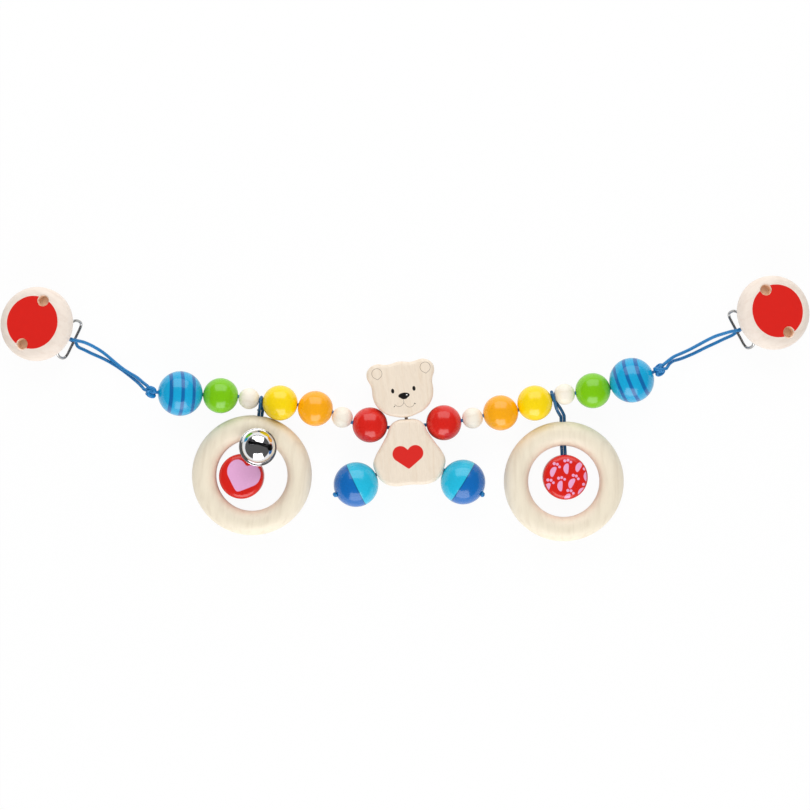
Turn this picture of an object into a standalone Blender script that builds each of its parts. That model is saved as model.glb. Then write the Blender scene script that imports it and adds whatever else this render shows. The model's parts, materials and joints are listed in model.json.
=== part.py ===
"""A wooden pram chain toy, laid flat on a table: a bear with a string of beads to each side and a clip at each end.

The origin is the middle of the bear body's flat back. +X runs along the chain, +Y towards the bear's head and +Z up
from the table. An empty stands on each joint, with its Z along the joint's axis, and carries what moves there.
"""

import math

import bmesh
import bpy
from mathutils import Matrix, Vector

# Clearances
fit_gap = 0.0003
bore_clearance = 0.0003
link_end_gap = 0.0002
weld_distance = 0.000001

# Cord: one thick cord through the beads, a thinner doubled one on the pendants
cord_diameter = 0.0019
strand_diameter = 0.0015
strand_gap = 0.0006
knot_diameter = 0.0070
end_knot_diameter = 0.0036
end_knot_length = 0.0022
end_knot_cover = math.radians(155.0)

# Beads
small_bead_diameter = 0.0120
bead_diameter = 0.0202
striped_bead_diameter = 0.0256
foot_bead_diameter = 0.0256
bead_gap = 0.0003
paired_bead_gap = 0.0003
sharp_bend_gap = 0.0006
pendant_gap = 0.0018
body_bead_gap = 0.0014

# Bear
bear_thickness = 0.0180
bear_edge_radius = 0.0026
body_half_width = 0.0206
body_half_height = 0.01865
body_cord_drop = 0.0040
body_tilt = math.radians(4.0)
head_half_width = 0.0194
head_half_height = 0.0161
head_tilt = math.radians(7.5)
neck_gap = 0.0012
neck_cord_reach = 0.0060
body_neck_depth = 0.0012
hip_socket_depth = 0.0026
hip_socket_diameter = 0.0036
leg_cord_inside = 0.0018
foot_gap = 0.0010
leg_drop = {"left": math.radians(22.0), "right": math.radians(36.0)}

# Pendants: a wooden ring with a disc inside, and a bell on the left one
ring_outer_diameter = 0.0688
ring_tube_diameter = 0.0140
ring_across = {"left": -0.0054, "right": 0.0067}
ring_lead = {"left": 0.0082, "right": 0.0148}
ring_hole_lean = {"left": math.radians(-8.0), "right": math.radians(1.0)}
disc_diameter = 0.0257
disc_thickness = 0.0124
disc_edge_radius = 0.0035
disc_cord_depth = 0.0180
disc_cord_gap = {"left": 0.0010, "right": 0.0008}
pendant_lead = 0.0030
pendant_twist = math.radians(90.0)

bell_diameter = 0.0196
bell_rim_diameter = 0.0218
bell_rim_thickness = 0.0012
bell_wall = 0.0006
bell_slot_length = 0.0107
bell_slot_width = 0.0018
bell_slot_hole_diameter = 0.0038
bell_slot_turn = math.radians(-37.0)
bell_eyelet_inner_diameter = 0.0064
bell_eyelet_wire = 0.0012
bell_pellet_diameter = 0.0050
bell_lean = math.radians(20.0)
bell_lean_heading = math.radians(32.0)

# Clip: a wooden dome on a stamped plate, with a lever under it and a wire bail at its end
dome_diameter = 0.0425
dome_height = 0.0095
dome_face_diameter = 0.0303
dome_edge_height = 0.0024
dome_edge_radius = 0.0010
dome_hole_diameter = 0.0062
dome_hole_across = 0.0135
clip_slope = math.radians(12.0)
clip_height = 0.0088
plate_thickness = 0.0010
plate_width = 0.0180
plate_back = 0.0160
plate_front = 0.0156
ear_back = 0.0128
ear_front = 0.0062
ear_depth = 0.0056
ear_thickness = 0.0010
pin_back = 0.0095
pin_drop = 0.0043
pin_diameter = 0.0016
pin_head_diameter = 0.0026
pin_head_thickness = 0.0006
lever_thickness = 0.0010
lever_half_width = 0.0074
lever_front = 0.0125
lever_back = 0.0104
lever_nose_front = 0.0062
lever_nose_height = 0.0048
pad_thickness = 0.0012
pad_back = 0.0140
pad_front = 0.0068
pad_half_width = 0.0062
roll_diameter = 0.0034
roll_half_length = 0.0074
roll_forward = 0.0168
roll_drop = 0.0008
bail_wire = 0.0016
bail_half_width = 0.0116
bail_length = 0.0085
bail_slope = math.radians(-55.5)
bail_point_spacing = 0.0020
clip_heading = {"left": math.radians(-25.8), "right": math.radians(208.3)}
clip_across = {"left": -0.2117, "right": 0.2075}
clip_up = {"left": 0.0728, "right": 0.0792}

# How finely the round shapes are drawn
bead_steps = 16
small_bead_steps = 12
large_bead_steps = 18
bead_arc_steps = 6
turned_steps = 24
ring_steps = (32, 10)
outline_steps = 3
lead_steps = 3
twist_steps = 5

# The string on each side, from the bear outwards: links of cord, each with the beads that it carries.
# Headings are in plan, turned up the page from straight outwards.
links = (("red",), ("small_inner", "orange"), ("yellow",), ("small_outer", "green"), ("striped",))
gap_before = {"red": body_bead_gap, "small_inner": sharp_bend_gap, "orange": paired_bead_gap, "yellow": bead_gap,
              "small_outer": pendant_gap, "green": paired_bead_gap, "striped": bead_gap}
bead_sizes = {"red": bead_diameter, "small_inner": small_bead_diameter, "orange": bead_diameter,
              "yellow": bead_diameter, "small_outer": small_bead_diameter, "green": bead_diameter,
              "striped": striped_bead_diameter}
bead_headings = {
    "left": {"red": 8, "small_inner": 28, "orange": 12, "yellow": 6, "small_outer": 11, "green": 3, "striped": 3},
    "right": {"red": 7, "small_inner": 13, "orange": 9, "yellow": 23, "small_outer": 6, "green": 8, "striped": 21},
}
bead_colours = {"red": "red lacquer", "small_inner": "pale wood", "orange": "orange lacquer",
                "yellow": "yellow lacquer", "small_outer": "pale wood", "green": "green lacquer",
                "striped": "light blue lacquer"}
outward = {"left": -1, "right": 1}
upright_bends = (2, 3, 5)

# Half outlines of the bear, from the top round the right-hand side to the bottom, as shares of half width and height
body_outline_shares = ((0.0, 1.0), (0.25, 0.985), (0.447, 0.853), (0.56, 0.59), (0.75, 0.245), (0.93, -0.07),
                       (1.0, -0.30), (0.95, -0.55), (0.81, -0.82), (0.58, -0.985), (0.0, -1.0))
head_outline_shares = ((0.0, 0.99), (0.35, 0.93), (0.72, 0.985), (0.95, 0.81), (1.0, 0.58), (0.90, 0.20),
                       (0.895, -0.175), (0.82, -0.48), (0.59, -0.79), (0.35, -0.92), (0.0, -1.0))

# Where the chain's cord leaves the body, and where the hips are, as shares of the body's half width and height
shoulder_share = 0.4760
hip_share = (0.9223, -0.6166)

# How far each pendant's axis turns from the yellow bead's bore towards the next bead's
swing_share = {"left": 0.0, "right": 0.5}

# Where each disc lies in its ring, as shares of the room round it, and the bell along the disc's cord
disc_shares = {"left": (-0.7733, -0.08), "right": (0.093, 0.32)}
bell_share = 0.72

# The bail's wire from its hinge bar outwards: how far along, and how far across, as shares of length and half width
bail_outline_shares = ((0.0, 0.30), (0.0, 0.74), (0.14, 0.91), (0.45, 1.0), (0.82, 0.97), (0.98, 0.78), (1.0, 0.30))

# Routes of the two doubled cords between the last knot and the clip's bail
loop_point_spacing = 0.0026
loop_routes = {
    "left": ((-0.1488, 0.0377, 0.0159), (-0.1515, 0.0395, 0.0130), (-0.1557, 0.0427, 0.0096),
             (-0.1600, 0.0450, 0.0060), (-0.1646, 0.0478, 0.0036), (-0.1696, 0.0518, 0.0031),
             (-0.1738, 0.0554, 0.0029), (-0.1768, 0.0577, 0.0034), (-0.1798, 0.0596, 0.0043),
             (-0.1830, 0.0614, 0.0058), (-0.1866, 0.0629, 0.0074), (-0.1917, 0.0640, 0.0086),
             (-0.1937, 0.0647, 0.0073), (-0.1946, 0.0645, 0.0048), (-0.1939, 0.0638, 0.0023),
             (-0.1920, 0.0628, 0.00105), (-0.1906, 0.0604, 0.0010), (-0.1868, 0.0585, 0.0010),
             (-0.1830, 0.0566, 0.0010), (-0.1791, 0.0549, 0.0010), (-0.1752, 0.0531, 0.0010),
             (-0.1714, 0.0510, 0.0010), (-0.1683, 0.0491, 0.0010), (-0.1652, 0.0470, 0.0012),
             (-0.1620, 0.0447, 0.0023), (-0.1590, 0.0425, 0.0048), (-0.1558, 0.0402, 0.0084),
             (-0.1532, 0.0381, 0.0118), (-0.1507, 0.0357, 0.0154)),
    "right": ((0.1452, 0.0499, 0.0159), (0.1512, 0.0542, 0.0116), (0.1566, 0.0565, 0.0072),
              (0.1618, 0.0588, 0.0042), (0.1667, 0.0614, 0.0032), (0.1715, 0.0640, 0.0036),
              (0.1760, 0.0662, 0.0050), (0.1805, 0.0677, 0.0068), (0.1851, 0.0690, 0.0081),
              (0.1880, 0.0694, 0.0086), (0.1899, 0.0702, 0.0073), (0.1908, 0.0702, 0.0048),
              (0.1901, 0.0694, 0.0023), (0.1884, 0.0683, 0.00105), (0.1863, 0.0669, 0.0010),
              (0.1814, 0.0647, 0.0010), (0.1766, 0.0624, 0.0010), (0.1718, 0.0602, 0.0010),
              (0.1670, 0.0578, 0.0010), (0.1641, 0.0564, 0.0010), (0.1603, 0.0548, 0.0013),
              (0.1572, 0.0536, 0.0026), (0.1545, 0.0528, 0.0050), (0.1517, 0.0520, 0.0082),
              (0.1490, 0.0503, 0.0120), (0.1468, 0.0476, 0.0156)),
}

colours = {
    "red lacquer": ((0.80, 0.03, 0.02), 0.25, 0.0),
    "orange lacquer": ((1.0, 0.30, 0.01), 0.25, 0.0),
    "yellow lacquer": ((1.0, 0.66, 0.01), 0.25, 0.0),
    "green lacquer": ((0.13, 0.62, 0.01), 0.25, 0.0),
    "light blue lacquer": ((0.06, 0.52, 0.85), 0.25, 0.0),
    "pale wood": ((0.80, 0.70, 0.54), 0.55, 0.0),
    "blue cord": ((0.02, 0.14, 0.42), 0.60, 0.0),
    "chrome": ((0.80, 0.80, 0.82), 0.08, 1.0),
    "steel": ((0.60, 0.60, 0.62), 0.25, 1.0),
    "white plastic": ((0.85, 0.85, 0.83), 0.40, 0.0),
}

for old in list(bpy.data.objects):
    bpy.data.objects.remove(old)

toy = bpy.data.collections.new("pram chain toy")
cutters = bpy.data.collections.new("cutters")
cutters.hide_render = True
bpy.context.scene.collection.children.link(toy)
bpy.context.scene.collection.children.link(cutters)


def finish(name):
    """The material of that name, made once."""
    made = bpy.data.materials.get(name)
    if made is None:
        colour, roughness, metallic = colours[name]
        made = bpy.data.materials.new(name)
        made.use_nodes = True
        shader = made.node_tree.nodes["Principled BSDF"]
        shader.inputs["Base Color"].default_value = (*colour, 1.0)
        shader.inputs["Roughness"].default_value = roughness
        shader.inputs["Metallic"].default_value = metallic
    return made


def aimed(point, way, side_way=(0, 0, 1)):
    """A frame at a point with its Z along way, and its X as near side_way as it can be."""
    z = Vector(way).normalized()
    x = Vector(side_way) - Vector(side_way).dot(z) * z
    if x.length < weld_distance:
        x = Vector((1, 0, 0)) - z.x * z
    x.normalize()
    turned = Matrix((x, z.cross(x), z)).transposed().to_4x4()
    return Matrix.Translation(point) @ turned


axis_frames = {}


def axis(name, point, way, carrier=None):
    """An empty on a joint's axis, which carries the pieces that turn there."""
    empty = bpy.data.objects.new(name, None)
    toy.objects.link(empty)
    empty.empty_display_size = cord_diameter
    axis_frames[name] = aimed(point, way)
    empty.matrix_basis = axis_frames[name]
    if carrier is not None:
        empty.parent = carrier
        empty.matrix_parent_inverse = axis_frames[carrier.name].inverted()
    return empty


def piece(name, data, material, frame, carrier):
    """A named sub-part from a mesh or curve, placed in the world and carried by an axis."""
    obj = bpy.data.objects.new(name, data)
    toy.objects.link(obj)
    data.materials.append(finish(material))
    obj.matrix_basis = frame
    obj.parent = carrier
    obj.matrix_parent_inverse = axis_frames[carrier.name].inverted()
    return obj


def shade(mesh):
    mesh.shade_smooth()
    mesh.set_sharp_from_angle(angle=math.radians(35))


def turned(name, profile, material, frame, carrier, steps=turned_steps, closed=False):
    """A turned piece: a profile of (radius, height) from the top down its outer side, screwed round its Z."""
    mesh = bpy.data.meshes.new(name)
    edges = [(i, i + 1) for i in range(len(profile) - 1)]
    if closed:
        edges.append((len(profile) - 1, 0))
    mesh.from_pydata([(radius, 0, height) for radius, height in profile], edges, [])
    obj = piece(name, mesh, material, frame, carrier)
    screw = obj.modifiers.new("turn", "SCREW")
    screw.steps = steps
    screw.render_steps = steps
    screw.use_merge_vertices = True
    screw.merge_threshold = weld_distance
    screw.use_smooth_shade = True
    return obj


def arc(radius, start, end, steps, centre=(0, 0)):
    """Points of a circle in a profile's plane, with angles measured from its Z."""
    angles = [start + (end - start) * i / steps for i in range(steps + 1)]
    return [(centre[0] + radius * math.sin(a), centre[1] + radius * math.cos(a)) for a in angles]


def tube(name, points, diameter, material, carrier, sides_level=2, cyclic=False, frame=None):
    """A cord or wire through points of the world, as a round tube with closed ends."""
    curve = bpy.data.curves.new(name, "CURVE")
    curve.dimensions = "3D"
    curve.bevel_depth = diameter / 2
    curve.bevel_resolution = sides_level
    curve.use_fill_caps = not cyclic
    spline = curve.splines.new("POLY")
    spline.points.add(len(points) - 1)
    home = frame if frame is not None else Matrix.Translation(points[0])
    for slot, point in zip(spline.points, points):
        slot.co = (*(home.inverted() @ Vector(point)), 1)
    spline.use_cyclic_u = cyclic
    return piece(name, curve, material, home, carrier)


def smooth_route(points, spacing, cyclic=False):
    """Even points along the smooth curve through a route's own points."""
    points = [Vector(p) for p in points]
    count = len(points)
    fine = []
    for i in range(count if cyclic else count - 1):
        before = points[i - 1] if cyclic or i > 0 else 2 * points[0] - points[1]
        here, after = points[i], points[(i + 1) % count]
        beyond = points[(i + 2) % count] if cyclic or i + 2 < count else 2 * after - here
        for step in range(24):
            t = step / 24
            fine.append(0.5 * (2 * here + (after - before) * t
                               + (2 * before - 5 * here + 4 * after - beyond) * t * t
                               + (3 * here - before - 3 * after + beyond) * t * t * t))
    fine.append(points[0] if cyclic else points[-1])
    lengths = [0.0]
    for a, b in zip(fine, fine[1:]):
        lengths.append(lengths[-1] + (b - a).length)
    wanted = max(2, round(lengths[-1] / spacing))
    even, at = [], 0
    for i in range(wanted if cyclic else wanted + 1):
        goal = lengths[-1] * i / wanted
        while at < len(fine) - 2 and lengths[at + 1] < goal:
            at += 1
        share = (goal - lengths[at]) / max(lengths[at + 1] - lengths[at], 1e-12)
        even.append(fine[at].lerp(fine[at + 1], share))
    return even


def as_mesh(obj):
    """The object again as a plain mesh with its caps welded, so that it can be cut."""
    bpy.context.view_layer.update()
    evaluated = obj.evaluated_get(bpy.context.evaluated_depsgraph_get())
    mesh = bpy.data.meshes.new_from_object(evaluated)
    work = bmesh.new()
    work.from_mesh(mesh)
    bmesh.ops.remove_doubles(work, verts=work.verts, dist=weld_distance)
    work.to_mesh(mesh)
    work.free()
    name, frame, carrier = obj.name, obj.matrix_basis.copy(), obj.parent
    bpy.data.objects.remove(obj)
    solid = bpy.data.objects.new(name, mesh)
    toy.objects.link(solid)
    solid.matrix_basis = frame
    solid.parent = carrier
    solid.matrix_parent_inverse = axis_frames[carrier.name].inverted()
    return solid


def slab(name, outline, thickness, edge_radius, material, frame, carrier, edge_steps=1):
    """A flat board cut to a smooth outline, with rounded edges, its back on the frame's XY plane."""
    curve = bpy.data.curves.new(name, "CURVE")
    curve.dimensions = "2D"
    curve.fill_mode = "BOTH"
    curve.extrude = thickness / 2 - edge_radius
    curve.bevel_depth = edge_radius
    curve.bevel_resolution = edge_steps
    curve.offset = -edge_radius
    curve.resolution_u = outline_steps
    spline = curve.splines.new("BEZIER")
    spline.bezier_points.add(len(outline) - 1)
    for knot, (x, y) in zip(spline.bezier_points, outline):
        knot.co = (x, y, 0)
        knot.handle_left_type = "AUTO"
        knot.handle_right_type = "AUTO"
    spline.use_cyclic_u = True
    board = piece(name, curve, material, frame @ Matrix.Translation((0, 0, thickness / 2)), carrier)
    return as_mesh(board)


def whole_outline(shares, half_width, half_height):
    """Both halves of an outline, clockwise from the top."""
    right = [(x * half_width, y * half_height) for x, y in shares]
    left = [(-x, y) for x, y in reversed(right[1:-1])]
    return right + left


def hidden(name, mesh, frame):
    """A cutter, or a part that is joined on, kept out of the render."""
    obj = bpy.data.objects.new(name, mesh)
    cutters.objects.link(obj)
    obj.matrix_basis = frame
    obj.hide_render = True
    obj.display_type = "WIRE"
    return obj


def rod_mesh(name, diameter, length, steps=16):
    """A plain cylinder along Z, centred."""
    mesh = bpy.data.meshes.new(name)
    work = bmesh.new()
    bmesh.ops.create_cone(work, cap_ends=True, segments=steps, radius1=diameter / 2, radius2=diameter / 2,
                          depth=length)
    work.to_mesh(mesh)
    work.free()
    return mesh


def box_mesh(name, low, high):
    """A box between two corners."""
    mesh = bpy.data.meshes.new(name)
    low, high = Vector(low), Vector(high)
    work = bmesh.new()
    size = high - low
    bmesh.ops.create_cube(work, size=1, matrix=Matrix.Translation((low + high) / 2) @ Matrix.Diagonal((*size, 1)))
    work.to_mesh(mesh)
    work.free()
    return mesh


def combine(obj, other, how):
    """Cuts another solid out of the object, or joins it on."""
    change = obj.modifiers.new(how.lower(), "BOOLEAN")
    change.operation = how
    change.solver = "EXACT"
    change.object = other


def drill(obj, name, point, way, diameter, length):
    """A round hole through the object, centred on a point."""
    combine(obj, hidden(name, rod_mesh(name, diameter, length), aimed(point, way)), "DIFFERENCE")


def on_body(across, up, height):
    """A point of the world, given on the tilted bear body."""
    return Matrix.Rotation(body_tilt, 4, "Z") @ Vector((across, up, height))


def shoulder(way):
    """The mouth of the bore through the body, on the side that way gives: -1 left, 1 right, 0 the middle."""
    return on_body(way * shoulder_share * body_half_width, body_half_height - body_cord_drop, bear_thickness / 2)


def leaving(side, heading, rise):
    """The way that leaves the bear on one side, turned up the page by heading and off the table by rise."""
    return Vector((outward[side] * math.cos(rise) * math.cos(heading),
                   math.cos(rise) * math.sin(heading), math.sin(rise)))


def string_places(side):
    """Where each bead of one side's string sits: start, middle and end of its stretch of bore, and the bore's way."""
    point = shoulder(outward[side]) + on_body(outward[side] * body_bead_gap / 2, 0, 0)
    order = [bead for link in links for bead in link]
    places = {}
    for link in links:
        last = bead_sizes[link[-1]] / 2
        before_last = sum(bead_sizes[bead] + gap_before[link[-1]] for bead in link[:-1])
        rise = math.asin((last - point.z) / (gap_before[link[0]] / 2 + before_last + last))
        for bead in link:
            way = leaving(side, math.radians(bead_headings[side][bead]), rise)
            start = point
            middle = start + way * (gap_before[bead] / 2 + bead_sizes[bead] / 2)
            following = order[order.index(bead) + 1:]
            after = gap_before[following[0]] / 2 if following else fit_gap / 2
            point = middle + way * (bead_sizes[bead] / 2 + after)
            places[bead] = (start, middle, point, way)
    return places


def bead(name, diameter, colour, middle, way, carrier, steps):
    """A ball with a bore along the cord."""
    bore = cord_diameter / 2 + bore_clearance
    edge = math.asin(2 * bore / diameter)
    profile = arc(diameter / 2, edge, math.pi - edge, bead_arc_steps)
    return turned(name, profile, colour, aimed(middle, way), carrier, steps, closed=True)


def string_of_beads(side):
    """One side's string: links of cord that bend between the beads, and the beads that spin on them."""
    places = string_places(side)
    carrier = torso
    for number, link in enumerate(links, start=1):
        start, _, _, first_way = places[link[0]]
        level_way = Vector((first_way.x, first_way.y, 0)).normalized()
        upright = Vector((0, 0, outward[side]))
        if number == 3:
            upright = -upright
        bend_axis = upright if number in upright_bends else level_way.cross(Vector((0, 0, 1)))
        carrier = axis(f"{side}_bend_{number}", start, bend_axis, carrier)
        link_carriers[side, number] = carrier
        end = places[link[-1]][2]
        points = [start + first_way * link_end_gap]
        points += [places[inner][0] for inner in link[1:]]
        points += [end - places[link[-1]][3] * link_end_gap]
        tube(f"{side}_cord_link_{number}", points, cord_diameter, "blue cord", carrier)
        for name in link:
            _, middle, _, way = places[name]
            steps = {small_bead_diameter: small_bead_steps, bead_diameter: bead_steps}.get(
                bead_sizes[name], large_bead_steps)
            spin = axis(f"{side}_{name}_spin", middle, way, carrier)
            bead(f"{side}_{name}_bead", bead_sizes[name], bead_colours[name], middle, way, spin, steps)
    knot_middle = end + places[link[-1]][3] * (fit_gap + knot_diameter / 2)
    mesh = bpy.data.meshes.new(f"{side}_knot")
    work = bmesh.new()
    bmesh.ops.create_uvsphere(work, u_segments=10, v_segments=7, radius=knot_diameter / 2)
    work.to_mesh(mesh)
    work.free()
    shade(mesh)
    piece(f"{side}_knot", mesh, "blue cord", aimed(knot_middle, places[link[-1]][3]), carrier)
    return places, knot_middle


def bear():
    """The body and head, the cord through the body, and the cord between them."""
    body_frame = Matrix.Rotation(body_tilt, 4, "Z")
    outline = whole_outline(body_outline_shares, body_half_width, body_half_height)
    body = slab("bear_body", outline, bear_thickness, bear_edge_radius, "pale wood", body_frame, torso)
    middle = bear_thickness / 2
    across = on_body(1, 0, 0) - on_body(0, 0, 0)
    bore = cord_diameter + 2 * bore_clearance
    drill(body, "body_bore_cutter", shoulder(0), across, bore, 4 * body_half_width)
    past = across * (body_bead_gap / 2 - link_end_gap)
    tube("centre_cord", [shoulder(-1) - past, shoulder(1) + past], cord_diameter, "blue cord", torso)

    neck_way = Matrix.Rotation((body_tilt + head_tilt) / 2, 4, "Z") @ Vector((0, 1, 0))
    top = on_body(0, body_half_height, middle)
    chin = top + neck_way * neck_gap
    neck_low = top - neck_way * body_neck_depth
    neck_high = chin + neck_way * neck_cord_reach
    drill(body, "body_neck_cutter", top, neck_way, bore, 2 * (body_neck_depth + fit_gap))
    tube("neck_cord", [neck_low, neck_high], cord_diameter, "blue cord", torso)
    turn = axis("head_turn", chin, neck_way, torso)
    up = Matrix.Rotation(head_tilt, 4, "Z") @ Vector((0, head_half_height, 0))
    head_middle = chin + up
    head_frame = Matrix.Translation((head_middle.x, head_middle.y, 0)) @ Matrix.Rotation(head_tilt, 4, "Z")
    outline = whole_outline(head_outline_shares, head_half_width, head_half_height)
    head = slab("bear_head", outline, bear_thickness, bear_edge_radius, "pale wood", head_frame, turn)
    drill(head, "head_neck_cutter", chin, neck_way, bore, 2 * (neck_cord_reach + fit_gap))
    return body


def leg(side, body):
    """A foot bead on its cord, which sits in a socket in the body's side and ends in a knot."""
    middle = bear_thickness / 2
    hip = on_body(outward[side] * hip_share[0] * body_half_width, hip_share[1] * body_half_height, middle)
    reach = foot_gap + foot_bead_diameter / 2
    rise = math.asin((foot_bead_diameter / 2 - middle) / reach)
    way = leaving(side, -leg_drop[side] + outward[side] * body_tilt, rise)
    drill(body, f"{side}_hip_cutter", hip, way, hip_socket_diameter, 2 * hip_socket_depth)
    swing = axis(f"{side}_leg_swing", hip, (0, 0, outward[side]), torso)
    foot_middle = hip + way * reach
    length = leg_cord_inside + reach + foot_bead_diameter / 2 + fit_gap
    radius = cord_diameter / 2
    knot = arc(end_knot_diameter / 2, 0, end_knot_cover, 6)
    squash = end_knot_length / end_knot_diameter
    tip = length + end_knot_length / 2
    profile = [(x, tip + z * squash) for x, z in knot]
    profile += [(radius, length), (radius, 0), (0, 0)]
    turned(f"{side}_leg_cord", profile, "blue cord", aimed(hip - way * leg_cord_inside, way), swing, 8)
    spin = axis(f"{side}_foot_spin", foot_middle, way, swing)
    bead(f"{side}_foot", foot_bead_diameter, "light blue lacquer", foot_middle, way, spin, large_bead_steps)


def doubled_cord(name, route, spreads, turns, carrier):
    """Two strands side by side along a route of the world, joined by a round bight at its start.

    The strands lie over and under the route at the start and turn round each other by turns.
    """
    route = [Vector(p) for p in route]
    way = (route[1] - route[0]).normalized()
    strands = ([], [])
    for i, point in enumerate(route):
        ahead = route[min(i + 1, len(route) - 1)] - route[max(i - 1, 0)]
        frame = aimed((0, 0, 0), ahead).to_3x3()
        angle = turns[i]
        off = (frame @ Vector((math.cos(angle), math.sin(angle), 0))) * spreads[i]
        strands[0].append(point + off)
        strands[1].append(point - off)
    first = strands[0][0] - route[0]
    bight = []
    for i in range(1, 6):
        a = math.pi * i / 6
        bight.append(route[0] + first * math.cos(a) - way * first.length * math.sin(a))
    points = list(reversed(strands[0])) + bight + strands[1]
    gap = min((a - b).length for a, b in zip(*strands)) - strand_diameter
    print(f"{name}: least gap between its strands {gap * 1000:.2f} mm")
    return tube(name, points, strand_diameter, "blue cord", carrier, sides_level=1)


def ring_places(side, hang):
    """The ring's middle, the way its hole runs up, and the mouths of the hole, for a pendant hung at a point."""
    down = ring_lead[side] + ring_outer_diameter / 2
    middle = Vector((hang.x + ring_across[side], hang.y - down, ring_tube_diameter / 2))
    lean = ring_hole_lean[side]
    up = Vector((-math.sin(lean), math.cos(lean), 0))
    outer = middle + up * ring_outer_diameter / 2
    inner = middle + up * (ring_outer_diameter / 2 - ring_tube_diameter)
    return middle, up, outer, inner


def pendant(side, places):
    """A wooden ring threaded on a doubled cord, with a disc inside it."""
    hang = places["small_outer"][0]
    both_ways = places["yellow"][3] + places["small_outer"][3]
    swing_way = places["yellow"][3].lerp(places["small_outer"][3], swing_share[side])
    swing = axis(f"{side}_pendant_swing", hang, swing_way * -outward[side], link_carriers[side, 3])
    middle, up, outer, inner = ring_places(side, hang)
    beside = strand_diameter / 2 + strand_gap / 2
    over = cord_diameter / 2 + fit_gap + strand_diameter / 2
    leave_way = Vector((both_ways.y, -both_ways.x, 0)).normalized() * outward[side]
    lead_end, lead_in = hang + leave_way * pendant_lead, outer + up * pendant_lead
    route = [hang.lerp(lead_end, i / lead_steps) for i in range(lead_steps)]
    route += [lead_end.lerp(lead_in, i / twist_steps) for i in range(twist_steps)]
    route += [lead_in, outer, (outer + inner) / 2, inner]
    shares = [min(1, max(0, (i - lead_steps) / twist_steps)) for i in range(len(route))]
    spreads = [over + (beside - over) * share for share in shares]
    turns = [pendant_twist * share for share in shares]
    doubled_cord(f"{side}_pendant_cord", route, spreads, turns, swing)

    twist = axis(f"{side}_ring_twist", middle, up, swing)
    mesh = bpy.data.meshes.new(f"{side}_ring")
    work = bmesh.new()
    major = (ring_outer_diameter - ring_tube_diameter) / 2
    circle = bmesh.ops.create_circle(work, segments=ring_steps[1], radius=ring_tube_diameter / 2,
                                     matrix=Matrix.Translation((major, 0, 0)) @ Matrix.Rotation(math.pi / 2, 4, "X"))
    bmesh.ops.spin(work, geom=work.verts[:] + work.edges[:], cent=(0, 0, 0), axis=(0, 0, 1), angle=2 * math.pi,
                   steps=ring_steps[0], use_merge=True)
    bmesh.ops.remove_doubles(work, verts=work.verts, dist=weld_distance)
    bmesh.ops.recalc_face_normals(work, faces=work.faces)
    work.to_mesh(mesh)
    work.free()
    shade(mesh)
    ring = piece(f"{side}_ring", mesh, "pale wood", Matrix.Translation(middle), twist)
    hole = 2 * (beside + strand_diameter / 2 + bore_clearance)
    drill(ring, f"{side}_ring_hole_cutter", (outer + inner) / 2, up, hole, 2 * ring_tube_diameter)

    room = (ring_outer_diameter - disc_diameter) / 2 - ring_tube_diameter
    disc_middle = middle + Vector((*disc_shares[side], 0)) * room
    drop_way = (disc_middle - inner).normalized()
    drop = axis(f"{side}_disc_swing", inner, (0, 0, 1), twist)
    drop_start = inner + drop_way * disc_cord_gap[side]
    to_disc = (disc_middle - inner).length - disc_diameter / 2
    drop_end = inner + drop_way * (to_disc + disc_cord_depth)
    steps = 6
    route = [drop_end.lerp(drop_start, i / steps) for i in range(steps + 1)]
    level = [math.pi / 2] * len(route)
    doubled_cord(f"{side}_disc_cord", route, [beside] * len(route), level, drop)
    spin = axis(f"{side}_disc_spin", disc_middle, drop_way, drop)
    half, rounding = disc_thickness / 2, disc_edge_radius
    side_arc = arc(rounding, 0, math.pi / 2, 3, (disc_diameter / 2 - rounding, half - rounding))
    profile = [(0, half)] + side_arc + [(x, -z) for x, z in reversed(side_arc)] + [(0, -half)]
    disc = turned(f"{side}_disc", profile, "red lacquer", Matrix.Translation(disc_middle), spin)
    mouth = inner + drop_way * to_disc
    depth = disc_cord_depth + strand_diameter + fit_gap
    drill(disc, f"{side}_disc_hole_cutter", mouth, drop_way, hole, 2 * depth)
    return inner.lerp(mouth, bell_share), drop_way, drop


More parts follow.
